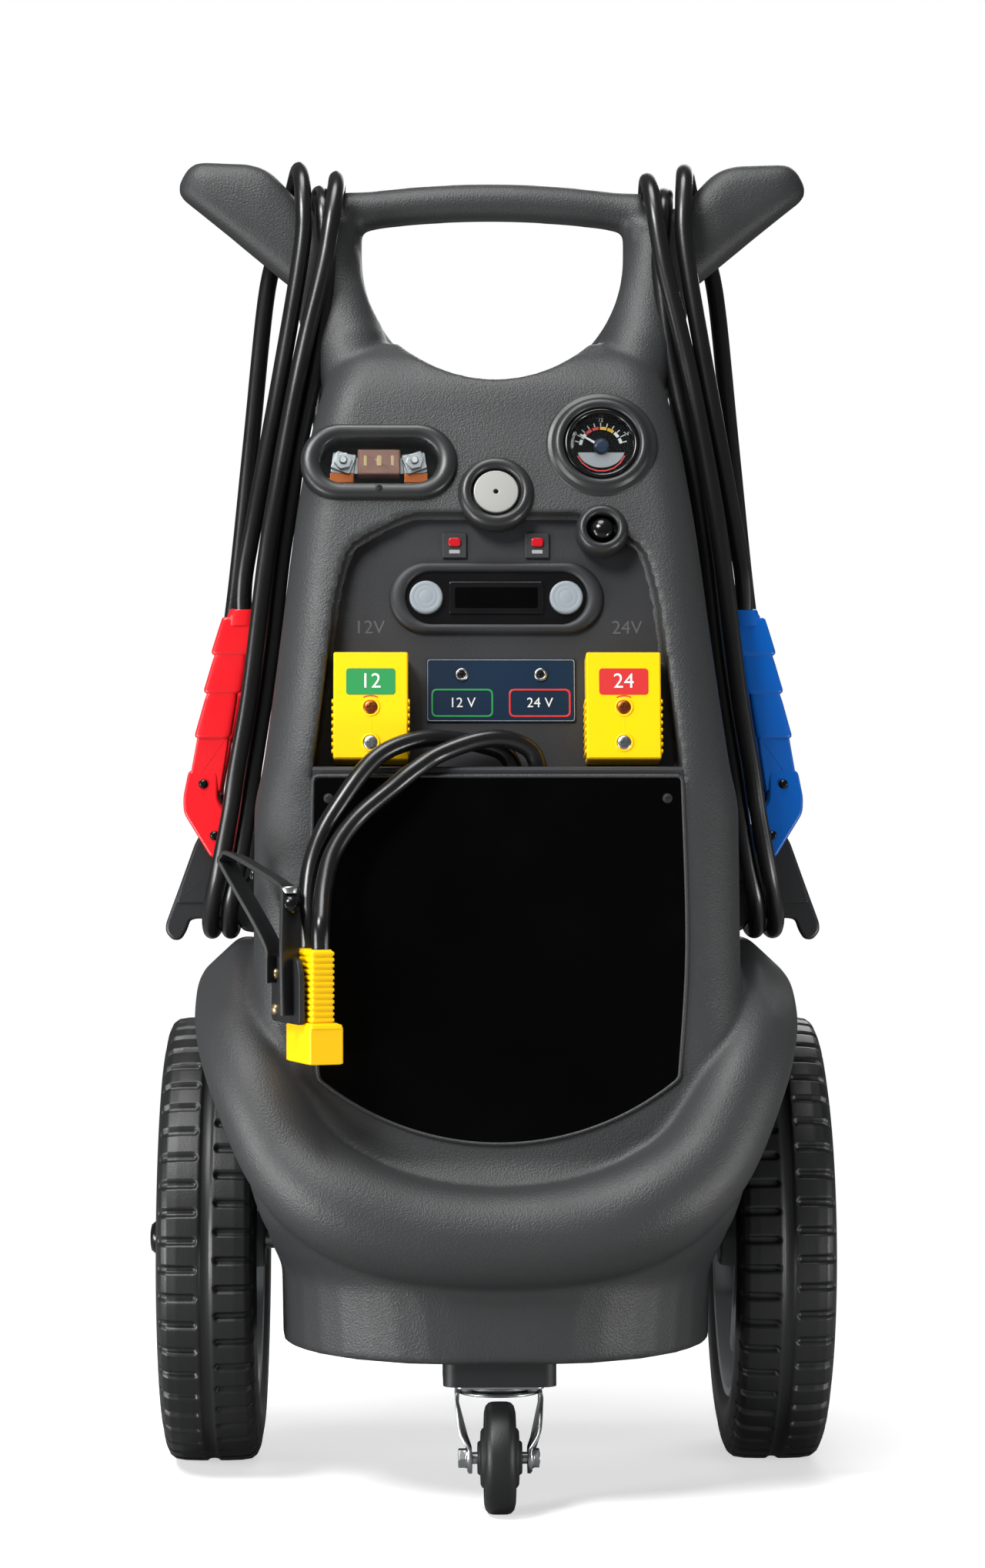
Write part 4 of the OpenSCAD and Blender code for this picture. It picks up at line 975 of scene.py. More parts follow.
    def cross_handle(self) -> Piece:
        """A round bar bent to a shallow arch, 3 mm thicker where it leaves the arms.

        Returns:
            The closed bar.
        """
        x = np.linspace(-self.handle_reach, self.handle_reach, 61)
        z = self.handle_z - self.handle_arch + np.sqrt(self.handle_arch**2 - x**2)
        path = np.stack([x, np.full_like(x, self.middle_y), z], axis=1)
        swell = self.handle_r + 3.0 * np.clip((np.abs(x) + 30.0 - self.handle_reach) / 30.0, 0.0, 1.0) ** 2
        return shell_of("cross", tube_rings(path, swell, 32, np.array([0.0, 1.0, 0.0])))

    def gusset(self, side: float) -> Piece:
        """A tapering oval from the arm's front down into the column's shoulder, so that the two run together.

        Args:
            side: -1 for the left, 1 for the right.

        Returns:
            The closed skin, clear of the round opening.
        """
        route = np.array([[side * 119.0, -2.0, 886.0], [side * 116.0, -8.0, 850.0], [side * 109.0, -20.0, 815.0],
                          [side * 101.0, -36.0, 785.0], [side * 95.0, -50.0, 760.0]])
        path = curve_through(route, 8)
        width = np.interp(path[:, 2], [760.0, 800.0, 840.0, 886.0], [23.0, 30.0, 28.0, 20.0])
        obj = shell_of("gusset", tube_rings(path, width, 32, np.array([1.0, 0.0, 0.0]), 0.95))
        cut(obj, self.opening())
        return obj

    def horn(self, side: float) -> Piece:
        """Superellipses of power 0.7 stacked outward along x, their sizes smoothed between stations.

        Args:
            side: -1 for the left, 1 for the right.

        Returns:
            The closed horn.
        """
        s = curve_through(np.array(HORN, dtype=float), 5)
        a = 2 * np.pi * (np.arange(40) + 0.5) / 40
        y = self.middle_y + s[:, 3:4] * squared(np.cos(a), 0.7)[None, :]
        z = (s[:, 1:2] + s[:, 2:3]) / 2 + (s[:, 2:3] - s[:, 1:2]) / 2 * squared(np.sin(a), 0.7)[None, :]
        x = side * np.repeat(s[:, :1], 40, axis=1)
        return shell_of("horn", np.stack([x, y, z], axis=-1))

    def cutters(self) -> list[Piece]:
        """What is sunk into the body.

        Returns:
            The wheel wells, the panel's recess, three round pockets and the fuse bay, as closed meshes.
        """
        out = self.well_x + self.well_width / 2
        cuts = [drum((side * out, 0.0, AXLE_Z), self.well_r, self.well_width, 0, 160) for side in SIDES]
        half = np.array([(126.5, 484.0), (126.5, 502.0), (112.0, 622.0), (102.5, 657.5), (60.0, 679.5)])
        outline = rounded(np.vstack([half, half[::-1] * [-1.0, 1.0]]), 11.0, 5)
        ends = [FLOOR.y(outline[:, 1]) + 0.6, np.full(len(outline), -250.0)]
        cuts.append(shell_of("cutter", np.stack([np.stack([outline[:, 0], y, outline[:, 1]], axis=1) for y in ends])))
        for at, radius, depth in ((METER_AT, 26.6, 30.0), (ALARM_AT, 18.2, 6.0), (TEST_AT, 12.0, 9.0)):
            cuts.append(solid("cutter", lathe([(radius, -depth), (radius, 30.0)], 64), on(FACE, at)))
        cuts.append(shell_of("cutter", on(FACE, FUSE_AT)(pillow(stadium(84.0, 35.0), [(0.0, -24.0), (0.0, 30.0)]))))
        return cuts


# ---------------------------------------------------------------- front panel


def slab(name: str, outline: Array, low: float, high: float, radius: float, stand: Stand,
         finish: Finishes) -> Piece:
    """A flat piece with rounded edges, carried to its place.

    Args:
        name: The piece's name.
        outline: Its outline, anticlockwise.
        low: Its back.
        high: Its face.
        radius: Radius of its edges.
        stand: What carries it there.
        finish: Its finish.

    Returns:
        The new object.
    """
    return shell_of(name, stand(pillow(outline, edge_levels(low, high, radius))), finish)


def frame_of(name: str, outer: Array, inner: Array, profile: Sequence, stand: Stand,
             finish: Finishes) -> Piece:
    """A closed frame: each ring lies a share t of the way from the outer to the inner outline at height h.

    Args:
        name: The piece's name.
        outer: Outer outline.
        inner: Inner outline, with as many points.
        profile: Rows of t and h round the frame's section.
        stand: What carries it to its place.
        finish: Its finish.

    Returns:
        The new object.
    """
    rings = np.stack([np.column_stack([(1 - t) * outer + t * inner, np.full(len(outer), h)]) for t, h in profile])
    return shell_of(name, stand(rings), finish, closed_loop=True)


def box_outline(width: float, height: float, radius: float, at: tuple[float, float] = (0.0, 0.0)) -> Array:
    """Outline of an oblong with rounded corners."""
    w, h = width / 2, height / 2
    return rounded([(-w, -h), (w, -h), (w, h), (-w, h)], radius, 6) + np.array(at)


def lettering(name: str, words: str, size: float, deep: float, stand: Stand,
              finish: Finishes) -> Piece:
    """Plain numbers, raised and centred on their place.

    Args:
        name: The piece's name.
        words: What it says.
        size: Height of a capital in millimetres, near enough.
        deep: How far it rises.
        stand: What carries it to its place.
        finish: Its finish.

    Returns:
        The new object, as a mesh.
    """
    curve = bpy.data.curves.new(name, "FONT")
    curve.body = words
    curve.align_x, curve.align_y = "CENTER", "CENTER"
    curve.size = size * 1.4
    curve.extrude = deep / 2
    curve.resolution_u = 4
    drawn = link(name, curve)
    graph = bpy.context.evaluated_depsgraph_get()
    graph.update()
    mesh = bpy.data.meshes.new_from_object(drawn.evaluated_get(graph))
    bpy.data.objects.remove(drawn)
    points = np.zeros(len(mesh.vertices) * 3)
    mesh.vertices.foreach_get("co", points)
    mesh.vertices.foreach_set("co", place(stand(points.reshape(-1, 3))).ravel())
    obj = link(name, mesh)
    mend(obj)
    dress(obj, finish)
    return obj


def screw(diameter: float, height: float, stand: Stand, finish: Finishes = Finishes.ZINC) -> Piece:
    """A pan head with a cross recess cut into it, its profile given as shares of its radius and height.

    Args:
        diameter: The head's diameter.
        height: The head's height.
        stand: What carries it to its place.
        finish: Its finish.

    Returns:
        The new object.
    """
    r, h = diameter / 2, height
    made = lathe([(r * 0.9, -0.8), (r, 0.0), (r, h * 0.35), (r * 0.9, h * 0.7), (r * 0.6, h * 0.93), (r * 0.3, h)], 32)
    obj = solid("head", made, stand)
    for wide, tall in ((0.26, 1.1), (1.1, 0.26)):
        bar = pillow(box_outline(r * wide, r * tall, 0.05), [(0.0, h * 0.45), (0.0, h + 2.0)])
        cut(obj, shell_of("cutter", stand(bar)))
    dress(obj, finish)
    return obj


@dataclass
class Bosses:
    """The raised rings round the meter, alarm, test button and fuse, as radius and height round each section."""

    meter: Sequence = ((26.6, -8), (26.6, 2.6), (27.6, 4.3), (29.4, 5.2), (31.4, 5.0), (33.2, 3.9), (34.4, 2.4),
                       (35.4, 1.6), (37.2, 1.3), (38.6, 0.7), (39.6, -0.6), (39.8, -8))
    alarm: Sequence = ((17.4, -7), (17.4, 2.2), (18.4, 4.2), (20.2, 5.3), (22.2, 5.3), (24.2, 4.4), (25.8, 2.7),
                       (26.8, 0.2), (27.0, -7))
    test: Sequence = ((10.9, -9), (10.9, 3.0), (11.6, 4.4), (13.2, 5.3), (15.0, 5.1), (16.7, 3.8), (17.9, 1.6),
                      (18.3, -1), (18.4, -9))
    # The fuse's ring, as shares of the way in and heights.
    fuse: Sequence = ((0.0, -8), (0.0, 1.6), (0.08, 3.8), (0.22, 5.2), (0.42, 5.8), (0.62, 5.6), (0.82, 4.6),
                      (0.95, 3.0), (1.0, 1.2), (1.0, -16))
    fuse_outer: tuple[float, float] = (110.0, 56.0)
    fuse_inner: tuple[float, float] = (82.0, 33.0)

    def build(self) -> None:
        """Make the four rings and join them."""
        places = ((self.meter, METER_AT), (self.alarm, ALARM_AT), (self.test, TEST_AT))
        # The rings' colour is darkened as painted shade.
        rings = [solid("ring", lathe(profile, 96, closed=True), on(FACE, at), Finishes.BOSS) for profile, at in places]
        rings.append(frame_of("ring", stadium(*self.fuse_outer, 40), stadium(*self.fuse_inner, 40), self.fuse,
                              on(FACE, FUSE_AT), Finishes.BOSS))
        settle(join("boss_rings", rings), Finishes.BOSS)


@dataclass
class FuseBay:
    """The fuse under its clear window: two posts with square washers, the brown link and two copper bars."""

    opening: tuple[float, float] = (84.0, 35.0)
    link_size: tuple[float, float] = (30.0, 19.0)
    ear_size: tuple[float, float] = (66.0, 12.0)
    post_x: float = 25.0
    post_up: float = 1.0
    # The washers of a post: side, back and face.
    washers: Sequence = ((16.5, -7.4, -5.6), (14.5, -5.5, -3.0))
    washer_turn_deg: float = 7.0
    nut_r: float = 6.4
    nut_turn_deg: float = 12.0
    bar_size: tuple[float, float] = (17.0, 7.5)
    bar_at: tuple[float, float] = (26.0, -9.8)

    def build(self) -> None:
        """Make what lies in the bay, from its floor up."""
        stand = on(FACE, FUSE_AT)
        # The bay's black floor is painted darker still as shade.
        well = slab("fuse_bay_floor", stadium(*self.opening), -20.0, -14.4, 0.4, stand, Finishes.BAY)
        settle(well, Finishes.BAY, replaces=["fuse_block"])
        body = slab("fuse_link_body", box_outline(*self.link_size, 1.6), -9.0, 0.6, 1.4, stand, Finishes.FUSE)
        marks = [slab("mark", box_outline(w, 8.0, 0.8, (x, 0.6)), 0.2, 1.1, 0.3, stand, Finishes.BRASS)
                 for x, w in ((-9.5, 2.2), (0.2, 3.4), (9.5, 2.2))]
        ears = slab("ear", box_outline(*self.ear_size, 2.0), -9.6, -7.6, 0.4, stand, Finishes.ZINC)
        settle(join("fuse_link_moulding", [body, ears] + marks), Finishes.FUSE, replaces=["fuse_link"])
        posts = [piece for side in SIDES for piece in self.post(side, stand)]
        settle(join("fuse_posts", posts), Finishes.ZINC, replaces=["fuse_studs"])
        x, up = self.bar_at
        bars = [slab("bar", box_outline(*self.bar_size, 0.8, (side * x, up)), -13.0, -5.2, 0.7, stand, Finishes.COPPER)
                for side in SIDES]
        settle(join("fuse_copper_bars", bars), Finishes.COPPER, replaces=["fuse_busbars"])
        pane = slab("fuse_pane", stadium(*self.opening), 2.2, 3.6, 0.5, stand, Finishes.CLEAR)
        settle(pane, Finishes.CLEAR, replaces=["fuse_window"])

    def post(self, side: float, stand: Stand) -> list[Piece]:
        """One threaded post with two washers, each turned a little further, under a hexagon nut.

        Args:
            side: -1 for the left, 1 for the right.
            stand: What carries it to the bay.

        Returns:
            Its pieces.
        """
        at = np.array([side * self.post_x, self.post_up])
        pieces = []
        for number, (size, low, high) in enumerate(self.washers):
            a = math.radians(self.washer_turn_deg * side) * (1 + 2 * number)
            turn = np.array([[math.cos(a), math.sin(a)], [-math.sin(a), math.cos(a)]])
            corners = box_outline(size, size * 0.94, 1.2) @ turn + at
            pieces.append(slab("washer", corners, low, high, 0.5, stand, Finishes.ZINC))
        a = np.radians(60.0 * np.arange(6) + self.nut_turn_deg)
        nut = self.nut_r * np.stack([np.cos(a), np.sin(a)], axis=1) + at
        pieces.append(slab("nut", nut, -3.0, 0.4, 0.5, stand, Finishes.ZINC))
        end = lathe([(2.9, 0.0), (2.9, 1.6), (2.2, 2.4)], 24)
        pieces.append(solid("post", end, shifted(stand, (*at, 0.0)), Finishes.ZINC))
        return pieces


@dataclass
class Meter:
    """The round panel meter: black bezel, printed dial, needle and clear lens."""

    bezel: Sequence = ((25.0, -14.0), (26.4, -14.0), (26.4, 2.0), (26.0, 3.2), (24.8, 3.9), (23.4, 3.6), (22.6, 2.4),
                       (22.3, 0.6), (22.2, -8.0), (24.0, -14.0))
    # The coloured band: start and end in degrees anticlockwise from the right, and the ink.
    colours: Sequence = ((157, 172, Finishes.WHITE_INK), (137, 153, Finishes.WHITE_INK), (117, 134, Finishes.RED_INK),
                         (96, 113, Finishes.RED_INK), (74, 92, Finishes.YELLOW_INK), (53, 71, Finishes.YELLOW_INK),
                         (33, 49, Finishes.WHITE_INK), (13, 28, Finishes.WHITE_INK))
    numbers: Sequence = ((150.0, "0"), (90.0, "12"), (30.0, "24"))
    number_r: float = 20.4
    ticks: int = 11
    tick_deg: float = 2.2
    needle_deg: float = 148.0
    needle_reach: float = 17.0
    needle_tail: float = 4.0

    def build(self) -> None:
        """Make its four pieces."""
        stand = on(FACE, METER_AT)
        bezel = solid("meter_bezel", lathe(self.bezel, 96, closed=True), stand)
        settle(bezel, Finishes.GLOSS_BLACK, replaces=["meter_case"])
        settle(join("meter_dial_print", self.print(stand)), Finishes.PRINT_BLACK, replaces=["meter_dial"])
        settle(join("meter_pointer", self.pointer(stand)), Finishes.NEEDLE, body="needle", replaces=["meter_needle"])
        lens = solid("meter_glass", lathe([(22.1, -0.4), (22.1, 0.5), (16.0, 1.2), (8.0, 1.6)], 64), stand)
        settle(lens, Finishes.CLEAR, replaces=["meter_lens"])

    def print(self, stand: Stand) -> list[Piece]:
        """The dial's disc with its band, ticks, grey cup, red line and numbers.

        Args:
            stand: What carries it to the meter.

        Returns:
            Its pieces.
        """
        disc = lathe([(24.0, -9.6), (24.0, -6.2), (23.5, -6.0)], 96)
        marks = [solid("meter_dial_disc", disc, stand, Finishes.PRINT_BLACK)]
        for low, high, finish in self.colours:
            marks.append(self.arc(low, high, 13.4, 15.6, finish, stand))
        half = self.tick_deg / 2
        for turn in np.linspace(165.0, 15.0, self.ticks):
            marks.append(self.arc(turn - half, turn + half, 15.9, 18.6, Finishes.WHITE_INK, stand))
        a = np.linspace(math.pi * 1.07, math.pi * 1.93, 30)
        cup = np.stack([16.6 * np.cos(a), 14.4 * np.sin(a) - 0.6], axis=1)
        marks.append(slab("cup", cup, -6.2, -5.7, 0.1, stand, Finishes.GREY_INK))
        marks.append(self.arc(200, 340, 17.0, 17.9, Finishes.RED_INK, stand))
        for turn, words in self.numbers:
            a = math.radians(turn)
            at = (self.number_r * math.cos(a), self.number_r * math.sin(a), -5.8)
            marks.append(lettering("number", words, 2.6, 0.2, shifted(stand, at), Finishes.WHITE_INK))
        return marks

    def pointer(self, stand: Stand) -> list[Piece]:
        """A tapering blade over a domed hub.

        Args:
            stand: What carries it to the meter.

        Returns:
            Its pieces.
        """
        hub = lathe([(5.4, -5.6), (5.4, -2.4), (4.6, -1.4), (2.0, -1.0)], 40)
        a = math.radians(self.needle_deg)
        along, across = np.array([math.cos(a), math.sin(a)]), np.array([-math.sin(a), math.cos(a)])
        tip, tail = along * self.needle_reach, -along * self.needle_tail
        blade = np.array([tip - across * 0.35, tip + across * 0.35, tail + across * 0.9, tail - across * 0.9])[::-1]
        return [slab("blade", blade, -4.4, -3.6, 0.1, stand, Finishes.NEEDLE),
                solid("hub", hub, stand, Finishes.PRINT_BLUE)]

    def arc(self, low: float, high: float, inner: float, outer: float, finish: Finishes,
            stand: Stand) -> Piece:
        """A printed piece of a ring.

        Args:
            low: Where it starts, in degrees anticlockwise from the right.
            high: Where it ends.
            inner: Inner radius.
            outer: Outer radius.
            finish: Its ink.
            stand: What carries it to the dial.

        Returns:
            The new object.
        """
        a = np.radians(np.linspace(low, high, 8))
        ring = np.stack([np.cos(a), np.sin(a)], axis=1)
        return slab("arc", np.vstack([ring * outer, ring[::-1] * inner]), -6.2, -5.8, 0.05, stand, finish)


@dataclass
class AlarmAndTest:
    """The silver alarm disc and the domed test button."""

    disc: Sequence = ((15.4, -3.0), (15.8, -2.6), (15.8, 2.4), (15.5, 2.9), (14.9, 3.15), (2.3, 3.2), (1.7, 2.9),
                      (1.6, -1.0))
    dome_r: float = 8.4
    dome_foot: float = -5.4
    dome_rise: float = 6.4

    def build(self) -> None:
        """Make both, each over a dark disc that is painted shade in the gap round it."""
        stand = on(FACE, ALARM_AT)
        pieces = [solid("cap", lathe(self.disc, 80), stand, Finishes.SATIN_SILVER),
                  # The black plug in the disc's middle hole is painted shade.
                  solid("hole", lathe([(1.5, 2.4), (1.5, 2.96)], 24), stand, Finishes.GLOSS_BLACK),
                  # The dark disc under the alarm disc's rim is painted shade in the gap round it.
                  solid("well", lathe([(17.6, -4.0), (17.6, -2.0)], 48), stand, Finishes.DARK)]
        settle(join("alarm_disc_cap", pieces), Finishes.SATIN_SILVER, replaces=["alarm_disc"])
        a = np.linspace(0.0, np.pi / 2, 12)[:-1]
        dome = [(self.dome_r, self.dome_foot)]
        dome += [(self.dome_r * math.cos(t), -0.5 + self.dome_rise * math.sin(t)) for t in a]
        button = solid("test_dome", lathe(dome, 64), on(FACE, TEST_AT))
        settle(button, Finishes.GLOSS_BLACK, body="tester", replaces=["test_button"])
        # The dark disc on the pocket's floor is painted shade round the button.
        floor = solid("test_well", lathe([(10.8, -9.6), (10.8, -8.8)], 48), on(FACE, TEST_AT))
        settle(floor, Finishes.DARK)


@dataclass
class Panel:
    """The sunk panel with its lip, lamp tiles, selector and printed label."""

    # One side of the floor's outline, from its foot up: across, and up the slope from 502.
    floor_side: Sequence = ((134.0, -21.0), (134.0, 5.0), (119.0, 124.0), (109.0, 158.0), (64.0, 180.0))
    lip_reach: float = 127.0
    button_x: float = 49.0
    button: Sequence = ((11.6, -0.8), (11.6, 4.2), (11.2, 4.9), (10.4, 5.2), (9.0, 5.2), (8.6, 5.05), (8.0, 5.0),
                        (7.6, 5.15), (5.6, 5.25), (5.2, 5.1), (4.6, 5.1), (4.2, 5.3), (1.0, 5.4))
    # The selector's ring, as shares of the way in and heights.
    ring: Sequence = ((0.0, -1.0), (0.0, 1.6), (0.12, 3.4), (0.3, 4.5), (0.55, 4.9), (0.78, 4.6), (0.94, 3.6),
                      (1.0, 2.2), (1.0, -1.0))
    lamp_x: float = 29.0
    lamp_z: float = 657.0
    film_at: tuple[float, float] = (3.2, 555.0)
    film_box_x: float = 27.0
    bezel_x: float = 27.5
    bezel_z: float = 566.0

    def build(self) -> None:
        """Make its pieces."""
        self.floor()
        self.selector()
        self.lamps()
        self.label()

    def floor(self) -> None:
        """The panel's floor, and the lip that the leads rise behind."""
        half = np.array(self.floor_side)
        outline = np.vstack([half, half[::-1] * [-1.0, 1.0]])
        foot = on(FLOOR, (0.0, FLOOR.from_z))
        # The panel's colour is painted a shade darker as the shade of the recess.
        sheet = shell_of("panel_floor", foot(pillow(outline, [(0.0, -4.0), (0.0, 0.0)])), Finishes.PANEL)
        back, y = FLOOR.y(486.0) + 2.0, LABEL.y(502.0)
        section = np.array([(y + 0.4, 482.0), (y + 0.4, 499.6), (y + 1.0, 501.2), (y + 2.2, 501.9), (y + 3.6, 501.4),
                            (y + 4.3, 500.0), (y + 4.3, 489.0), (y + 5.4, 486.6), (back, 486.6), (back, 482.0)])
        rings = [np.column_stack([np.full(len(section), x), section]) for x in (-self.lip_reach, 0.0, self.lip_reach)]
        lip = shell_of("lip", np.stack(rings), Finishes.PANEL)
        lip.data.polygons.foreach_set("use_smooth", np.full(len(lip.data.polygons), False))
        numbers = [lettering("raised_number", words, 9.6, 0.4, on(FLOOR, (x, 599.0)), Finishes.FAINT_INK)
                   for x, words in ((-88.5, "12V"), (91.5, "24V"))]
        settle(join("panel_moulding", [sheet, lip] + numbers), Finishes.PANEL, replaces=["control_panel"])

    def selector(self) -> None:
        """The stadium bezel, its glossy plate and the two silver buttons."""
        stand = on(FLOOR, SELECTOR_AT)
        pieces = [frame_of("rim", stadium(150.0, 51.0, 40), stadium(127.0, 38.0, 40), self.ring, stand,
                           Finishes.PANEL),
                  slab("plate", stadium(129.0, 40.0), -4.8, 0.9, 0.3, stand, Finishes.GLOSS_BLACK),
                  slab("block", box_outline(66.0, 23.0, 2.0), 0.4, 2.8, 0.8, stand, Finishes.GLOSS_BLACK),
                  slab("inset", box_outline(58.0, 15.0, 1.5), 2.4, 3.2, 0.3, stand, Finishes.PRINT_BLACK)]
        settle(join("selector_bezel", pieces), Finishes.GLOSS_BLACK, replaces=["selector_fascia"])
        for name, side in zip(("12v", "24v"), SIDES):
            at = (SELECTOR_AT[0] + side * self.button_x, SELECTOR_AT[1])
            disc = solid("selector_disc_" + name, lathe(self.button, 72), on(FLOOR, at))
            settle(disc, Finishes.BUTTON, body="select_" + name, replaces=["button_" + name])

    def lamps(self) -> None:
        """Two tiles, each with a red lamp over a grey mark."""
        tiles, lenses = [], []
        for side in SIDES:
            stand = on(FLOOR, (side * self.lamp_x, self.lamp_z))
            mark = box_outline(7.5, 2.6, 0.5, (0.0, -4.6))
            tiles += [slab("tile", box_outline(17.0, 18.0, 1.0), -0.5, 2.0, 0.7, stand, Finishes.PANEL),
                      slab("tile_mark", mark, 1.6, 2.3, 0.15, stand, Finishes.GREY_INK)]
            lens = box_outline(8.6, 6.2, 2.4, (0.0, 2.2))
            lenses.append(slab("lens", lens, 1.2, 3.8, 0.9, stand, Finishes.LAMP_RED))
        settle(join("lamp_tiles", tiles), Finishes.PANEL)
        settle(join("lamp_lenses", lenses), Finishes.LAMP_RED, replaces=["indicator_lamps"])

    def label(self) -> None:
        """The printed film with its light border, two outlined boxes and the bezels of two small lamps."""
        stand = on(FLOOR, self.film_at)
        thin = [(0.0, 0.9), (0.0, 1.4), (1.0, 1.4), (1.0, 0.9)]
        outer, inner = box_outline(102.6, 43.6, 2.0), box_outline(101.8, 42.8, 2.0)
        pieces = [slab("film", box_outline(104.0, 45.0, 2.0), 0.0, 1.2, 0.3, stand, Finishes.PRINT_BLUE),
                  frame_of("edge", outer, inner, thin, stand, Finishes.GREY_INK)]
        boxes = ((-self.film_box_x, Finishes.GREEN_INK), (self.film_box_x, Finishes.RED_INK))
        for at, finish in [((x, -9.0), finish) for x, finish in boxes]:
            outer, inner = box_outline(43.0, 20.0, 4.0, at), box_outline(40.6, 17.6, 3.2, at)
            pieces.append(frame_of("box", outer, inner, thin, stand, finish))
        for side, words in zip(SIDES, ("12 V", "24 V")):
            at = (side * self.film_box_x, -9.0, 1.3)
            pieces.append(lettering("number", words, 7.0, 0.3, shifted(stand, at), Finishes.WHITE_INK))
        settle(join("detection_film", pieces), Finishes.PRINT_BLUE, replaces=["detection_label"])
        bezels = []
        ring = lathe([(2.6, 0.6), (4.6, 0.9), (4.8, 1.6), (4.2, 2.5), (3.2, 2.7), (2.6, 2.0)], 40, closed=True)
        for side in SIDES:
            spot = on(FLOOR, (side * self.bezel_x + 3.4, self.bezel_z))
            bezels += [solid("bezel", ring, spot, Finishes.ZINC),
                       solid("dark", lathe([(2.7, 0.8), (2.7, 1.6), (1.6, 2.2)], 32), spot, Finishes.GLOSS_BLACK)]
        settle(join("detection_bezels", bezels), Finishes.ZINC, replaces=["detection_lamps"])


@dataclass
class LabelPlate:
    """The large black plate on the front with its thin raised lip and flush corner screws."""

    side: Sequence = ((125.0, 494.0), (127.0, 380.0), (121.0, 291.0))
    foot_z: float = 248.0
    foot_rise: float = 43.0
    middle_z: float = 380.0
    screw_at: tuple[float, float] = (116.0, 480.0)
    seat_r: float = 3.4
    lip_out: float = 3.4
    lip: Sequence = ((0.0, -2.0), (0.1, 0.4), (0.35, 1.9), (0.6, 2.2), (0.85, 1.7), (1.0, 0.4), (1.0, -2.0))

    def build(self) -> None:
        """Make the plate with the seats of its screws, and its lip; the plate's foot is an arc of a circle."""
        half = self.side[-1][0]
        radius = (half**2 + self.foot_rise**2) / (2 * self.foot_rise)
        bend = math.asin(half / radius)
        a = np.linspace(bend, -bend, 41)[1:-1]
        foot = np.stack([radius * np.sin(a), self.foot_z + radius - radius * np.cos(a)], axis=1)
        side = curve_through(np.array(self.side), 8)
        outline = rounded(np.vstack([side, foot, side[::-1] * [-1.0, 1.0]])[::-1], 2.5, 3)
        flat = np.column_stack([outline[:, 0], (outline[:, 1] - self.middle_z) / math.cos(LABEL.lean)])
        stand = on(LABEL, (0.0, self.middle_z))
        pieces = [shell_of("plate", stand(pillow(flat, edge_levels(0.2, 1.7, 0.4))), Finishes.PRINT_BLACK)]
        a = np.linspace(0, 2 * np.pi, 33)[:-1]
        seat = self.seat_r * np.stack([np.cos(a), np.sin(a)], axis=1)
        x, z = self.screw_at
        pieces += [slab("seat", seat, 1.5, 1.75, 0.1, on(LABEL, (side * x, z)), Finishes.DARK) for side in SIDES]
        settle(join("front_plate_black", pieces), Finishes.PRINT_BLACK, replaces=["label_plate"])
        lip = frame_of("front_plate_lip", inset(flat, -self.lip_out), inset(flat, 0.2), self.lip, stand,
                       Finishes.SHELL)
        settle(lip, Finishes.SHELL)


@dataclass
class Screws:
    """Every case screw, as pan heads with cross recesses."""

    plate_at: tuple[float, float] = (116.0, 480.0)
    below_fuse: float = 20.3
    hook_x: float = 172.6
    hook_y: tuple[float, float] = (-37.0, -7.0)
    hook_z: float = 424.0
    cover_x: float = 94.0
    cover_y: float = 110.4
    cover_z: tuple[float, float] = (136.0, 324.0)
    socket_x: float = 87.3
    # How far up a socket its two screws are, and what shows there.
    socket_up: Sequence = ((11.25, Finishes.ZINC), (36.0, Finishes.COPPER))

    def build(self) -> None:
        """Place them on the plate, fuse window, hooks, rear cover and sockets."""
        x, z = self.plate_at
        heads = [screw(5.6, 0.9, on(LABEL, (side * x, z), 1.5), Finishes.DARK) for side in SIDES]
        heads.append(screw(5.0, 1.8, on(FACE, (FUSE_AT[0], FUSE_AT[1] - self.below_fuse), 5.2), Finishes.DARK))
        for side in SIDES:
            heads += [screw(8.0, 2.6, sideways(self.hook_x, y, self.hook_z, side)) for y in self.hook_y]
            heads += [screw(6.0, 2.0, self.behind(side, z)) for z in self.cover_z]
            socket = partial(FLOOR.stand, x=side * self.socket_x, z=503.0)
            heads += [screw(9.6, 1.3, shifted(socket, (0.0, up, 26.1)), finish) for up, finish in self.socket_up]
        settle(join("case_screw_heads", heads), Finishes.ZINC, replaces=["case_screws"])

    def behind(self, side: float, z: float) -> Stand:
        """What turns flat points to face backwards on the rear cover."""
        x, y = side * self.cover_x, self.cover_y
        return lambda p: np.stack([x - p[..., 0], y + p[..., 2], z + p[..., 1]], axis=-1)


# ---------------------------------------------------------------- clamps, hooks and connectors


def loft(name: str, sections: Sequence, stand: Stand, finish: Finishes,
         power: float = 0.35) -> Piece:
    """Stacked superellipses: x = cx + a squared(cos), y = cy + b squared(sin) at each height z.

    Args:
        name: The piece's name.
        sections: Rows of z, cx, cy, a, b.
        stand: What carries it to its place.
        finish: Its finish.
        power: The superellipse's power; smaller is squarer.

    Returns:
        The new object.
    """
    s = np.array(sections, dtype=float)[:, None, :]
    t = (2 * np.pi * (np.arange(48) + 0.5) / 48)[None, :]
    x = s[..., 1] + s[..., 3] * squared(np.cos(t), power)
    y = s[..., 2] + s[..., 4] * squared(np.sin(t), power)
    z = np.broadcast_to(s[..., 0], x.shape)
    return shell_of(name, stand(np.stack([x, y, z], axis=-1)), finish)


